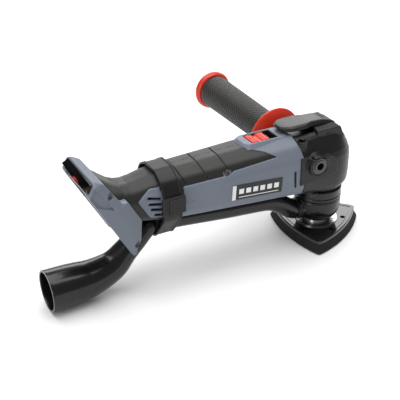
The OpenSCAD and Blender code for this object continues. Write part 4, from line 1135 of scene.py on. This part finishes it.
def build_bay():
    """A dark lining in the slot, and the wire bail with its catch at the open end."""
    lining = foot_block("battery_bay", (-6.6, 76.4), (-30.3, 30.3), (3.2, 10.8))
    boolean(lining, [
        foot_block("bay hollow", (-30, 75.9), (-29.9, 29.9), (3.6, 10.4)),
        foot_block("bay mouth", (-30, 120), (-24.6, 24.6), (-5, 3.8)),
        rod("bay lead hole", (-246, 0, AXIS - 3), (1, 0, 0), 5.5, 24),
    ])
    polish(lining, 40)
    dress(lining, "housing", "black_plastic", BLACK)

    reach = 23.8
    corners = [(7.6, reach), (3.4, reach), (2.6, reach - 0.9), (2.6, 0.9 - reach), (3.4, -reach), (7.6, -reach)]
    path = [Vector(foot_point(s, y, 1.6)) for s, y in corners]
    inwards = Vector(foot_point(0, 0, 1)) - Vector(foot_point(0, 0, 0))
    wire_r = 0.5
    angles = [math.pi * k / 6 for k in range(12)]
    rings = []
    for i, p in enumerate(path):
        ahead = (path[min(i + 1, len(path) - 1)] - path[max(i - 1, 0)]).normalized()
        side = ahead.cross(inwards).normalized()
        rings.append([tuple(p + inwards * wire_r * math.cos(a) + side * wire_r * math.sin(a)) for a in angles])
    wire = loft("wire_bail", rings)
    polish(wire, 50)
    dress(wire, "housing", "zinc_steel", ZINC, "terminal_clip")

    outline = [(3.1, 1.1), (7.4, 1.1), (7.4, 3.4), (5.6, 4.3), (3.1, 4.3)]
    catch = foot_prism("bail_catch", outline, 8.0, 14.9, 0.5)
    ribs = [foot_block("catch rib", (3.6 + 1.3 * k, 4.2 + 1.3 * k), (7, 16), (3.9, 6)) for k in range(2)]
    boolean(catch, ribs)
    bevelled(catch, 0.25, 2, 40)
    dress(catch, "housing", "orange_plastic", ORANGE, "terminal_button")


# ---- Small CAD parts that stay ----

def soften_cad_edges():
    widths = {
        "boss_inserts": 0.35, "terminal_block": 0.3, "terminal_blades": 0.15, "collar_clip": 0.3,
        "shell_screws": 0.2, "head_screws": 0.2, "pad_hub": 0.2,
    }
    for node, width in widths.items():
        bevelled(nodes[node], width, 2, 35)


# ---- Studio ----

def build_studio():
    half = 6.0 / MM
    floor = make("studio_floor", [(x, y, -0.4) for x, y in rectangle(-half, half, -half, half)], [[0, 1, 2, 3]])
    floor.data.materials.append(surface("studio paper", (0.93, 0.93, 0.93), 0.9, grain=60, depth=0.0, spread=0.004))

    world = bpy.data.worlds.new("studio")
    scene.world = world
    world.use_nodes = True
    background = world.node_tree.nodes["Background"]
    background.inputs["Color"].default_value = (1, 1, 1, 1)
    background.inputs["Strength"].default_value = 0.26

    def softbox(name, place, target, size, power):
        light = bpy.data.lights.new(name, "AREA")
        light.shape = "RECTANGLE"
        light.size, light.size_y = size
        light.energy = power
        ob = bpy.data.objects.new(name, light)
        scene.collection.objects.link(ob)
        ob.location = place
        ob.rotation_euler = (Vector(target) - Vector(place)).to_track_quat("-Z", "Y").to_euler()

    centre = (-0.13, 0.03, 0.08)
    softbox("overhead", (-0.1, 0.1, 1.6), centre, (2.0, 1.6), 35)
    softbox("behind", (0.75, 1.4, 0.9), centre, (2.2, 0.7), 17)
    softbox("side", (-1.5, -0.5, 0.6), centre, (0.6, 1.0), 7)


def build_camera():
    yaw, pitch, roll = math.radians(27.89), math.radians(30.07), math.radians(-0.54)
    forward = Vector((math.sin(yaw) * math.cos(pitch), math.cos(yaw) * math.cos(pitch), -math.sin(pitch)))
    right = Vector((math.cos(yaw), -math.sin(yaw), 0))
    up = right.cross(forward)
    right, up = right * math.cos(roll) + up * math.sin(roll), up * math.cos(roll) - right * math.sin(roll)
    data = bpy.data.cameras.new("camera")
    data.sensor_width = 36
    data.lens = 80.5
    data.clip_end = 50
    camera = bpy.data.objects.new("camera", data)
    turn = Matrix((right, up, -forward)).transposed().to_4x4()
    camera.matrix_world = Matrix.Translation((-0.50922, -0.68872, 0.52697)) @ turn
    scene.collection.objects.link(camera)
    scene.camera = camera


scene.view_settings.view_transform = "Standard"
build_camera()
build_studio()
dress_cad_nodes()
soften_cad_edges()
build_shells()
build_grips()
build_head()
build_lever()
build_switch()
build_label()
build_handle()
build_pipe()
build_hood()
build_strap()
build_pad()
build_bay()
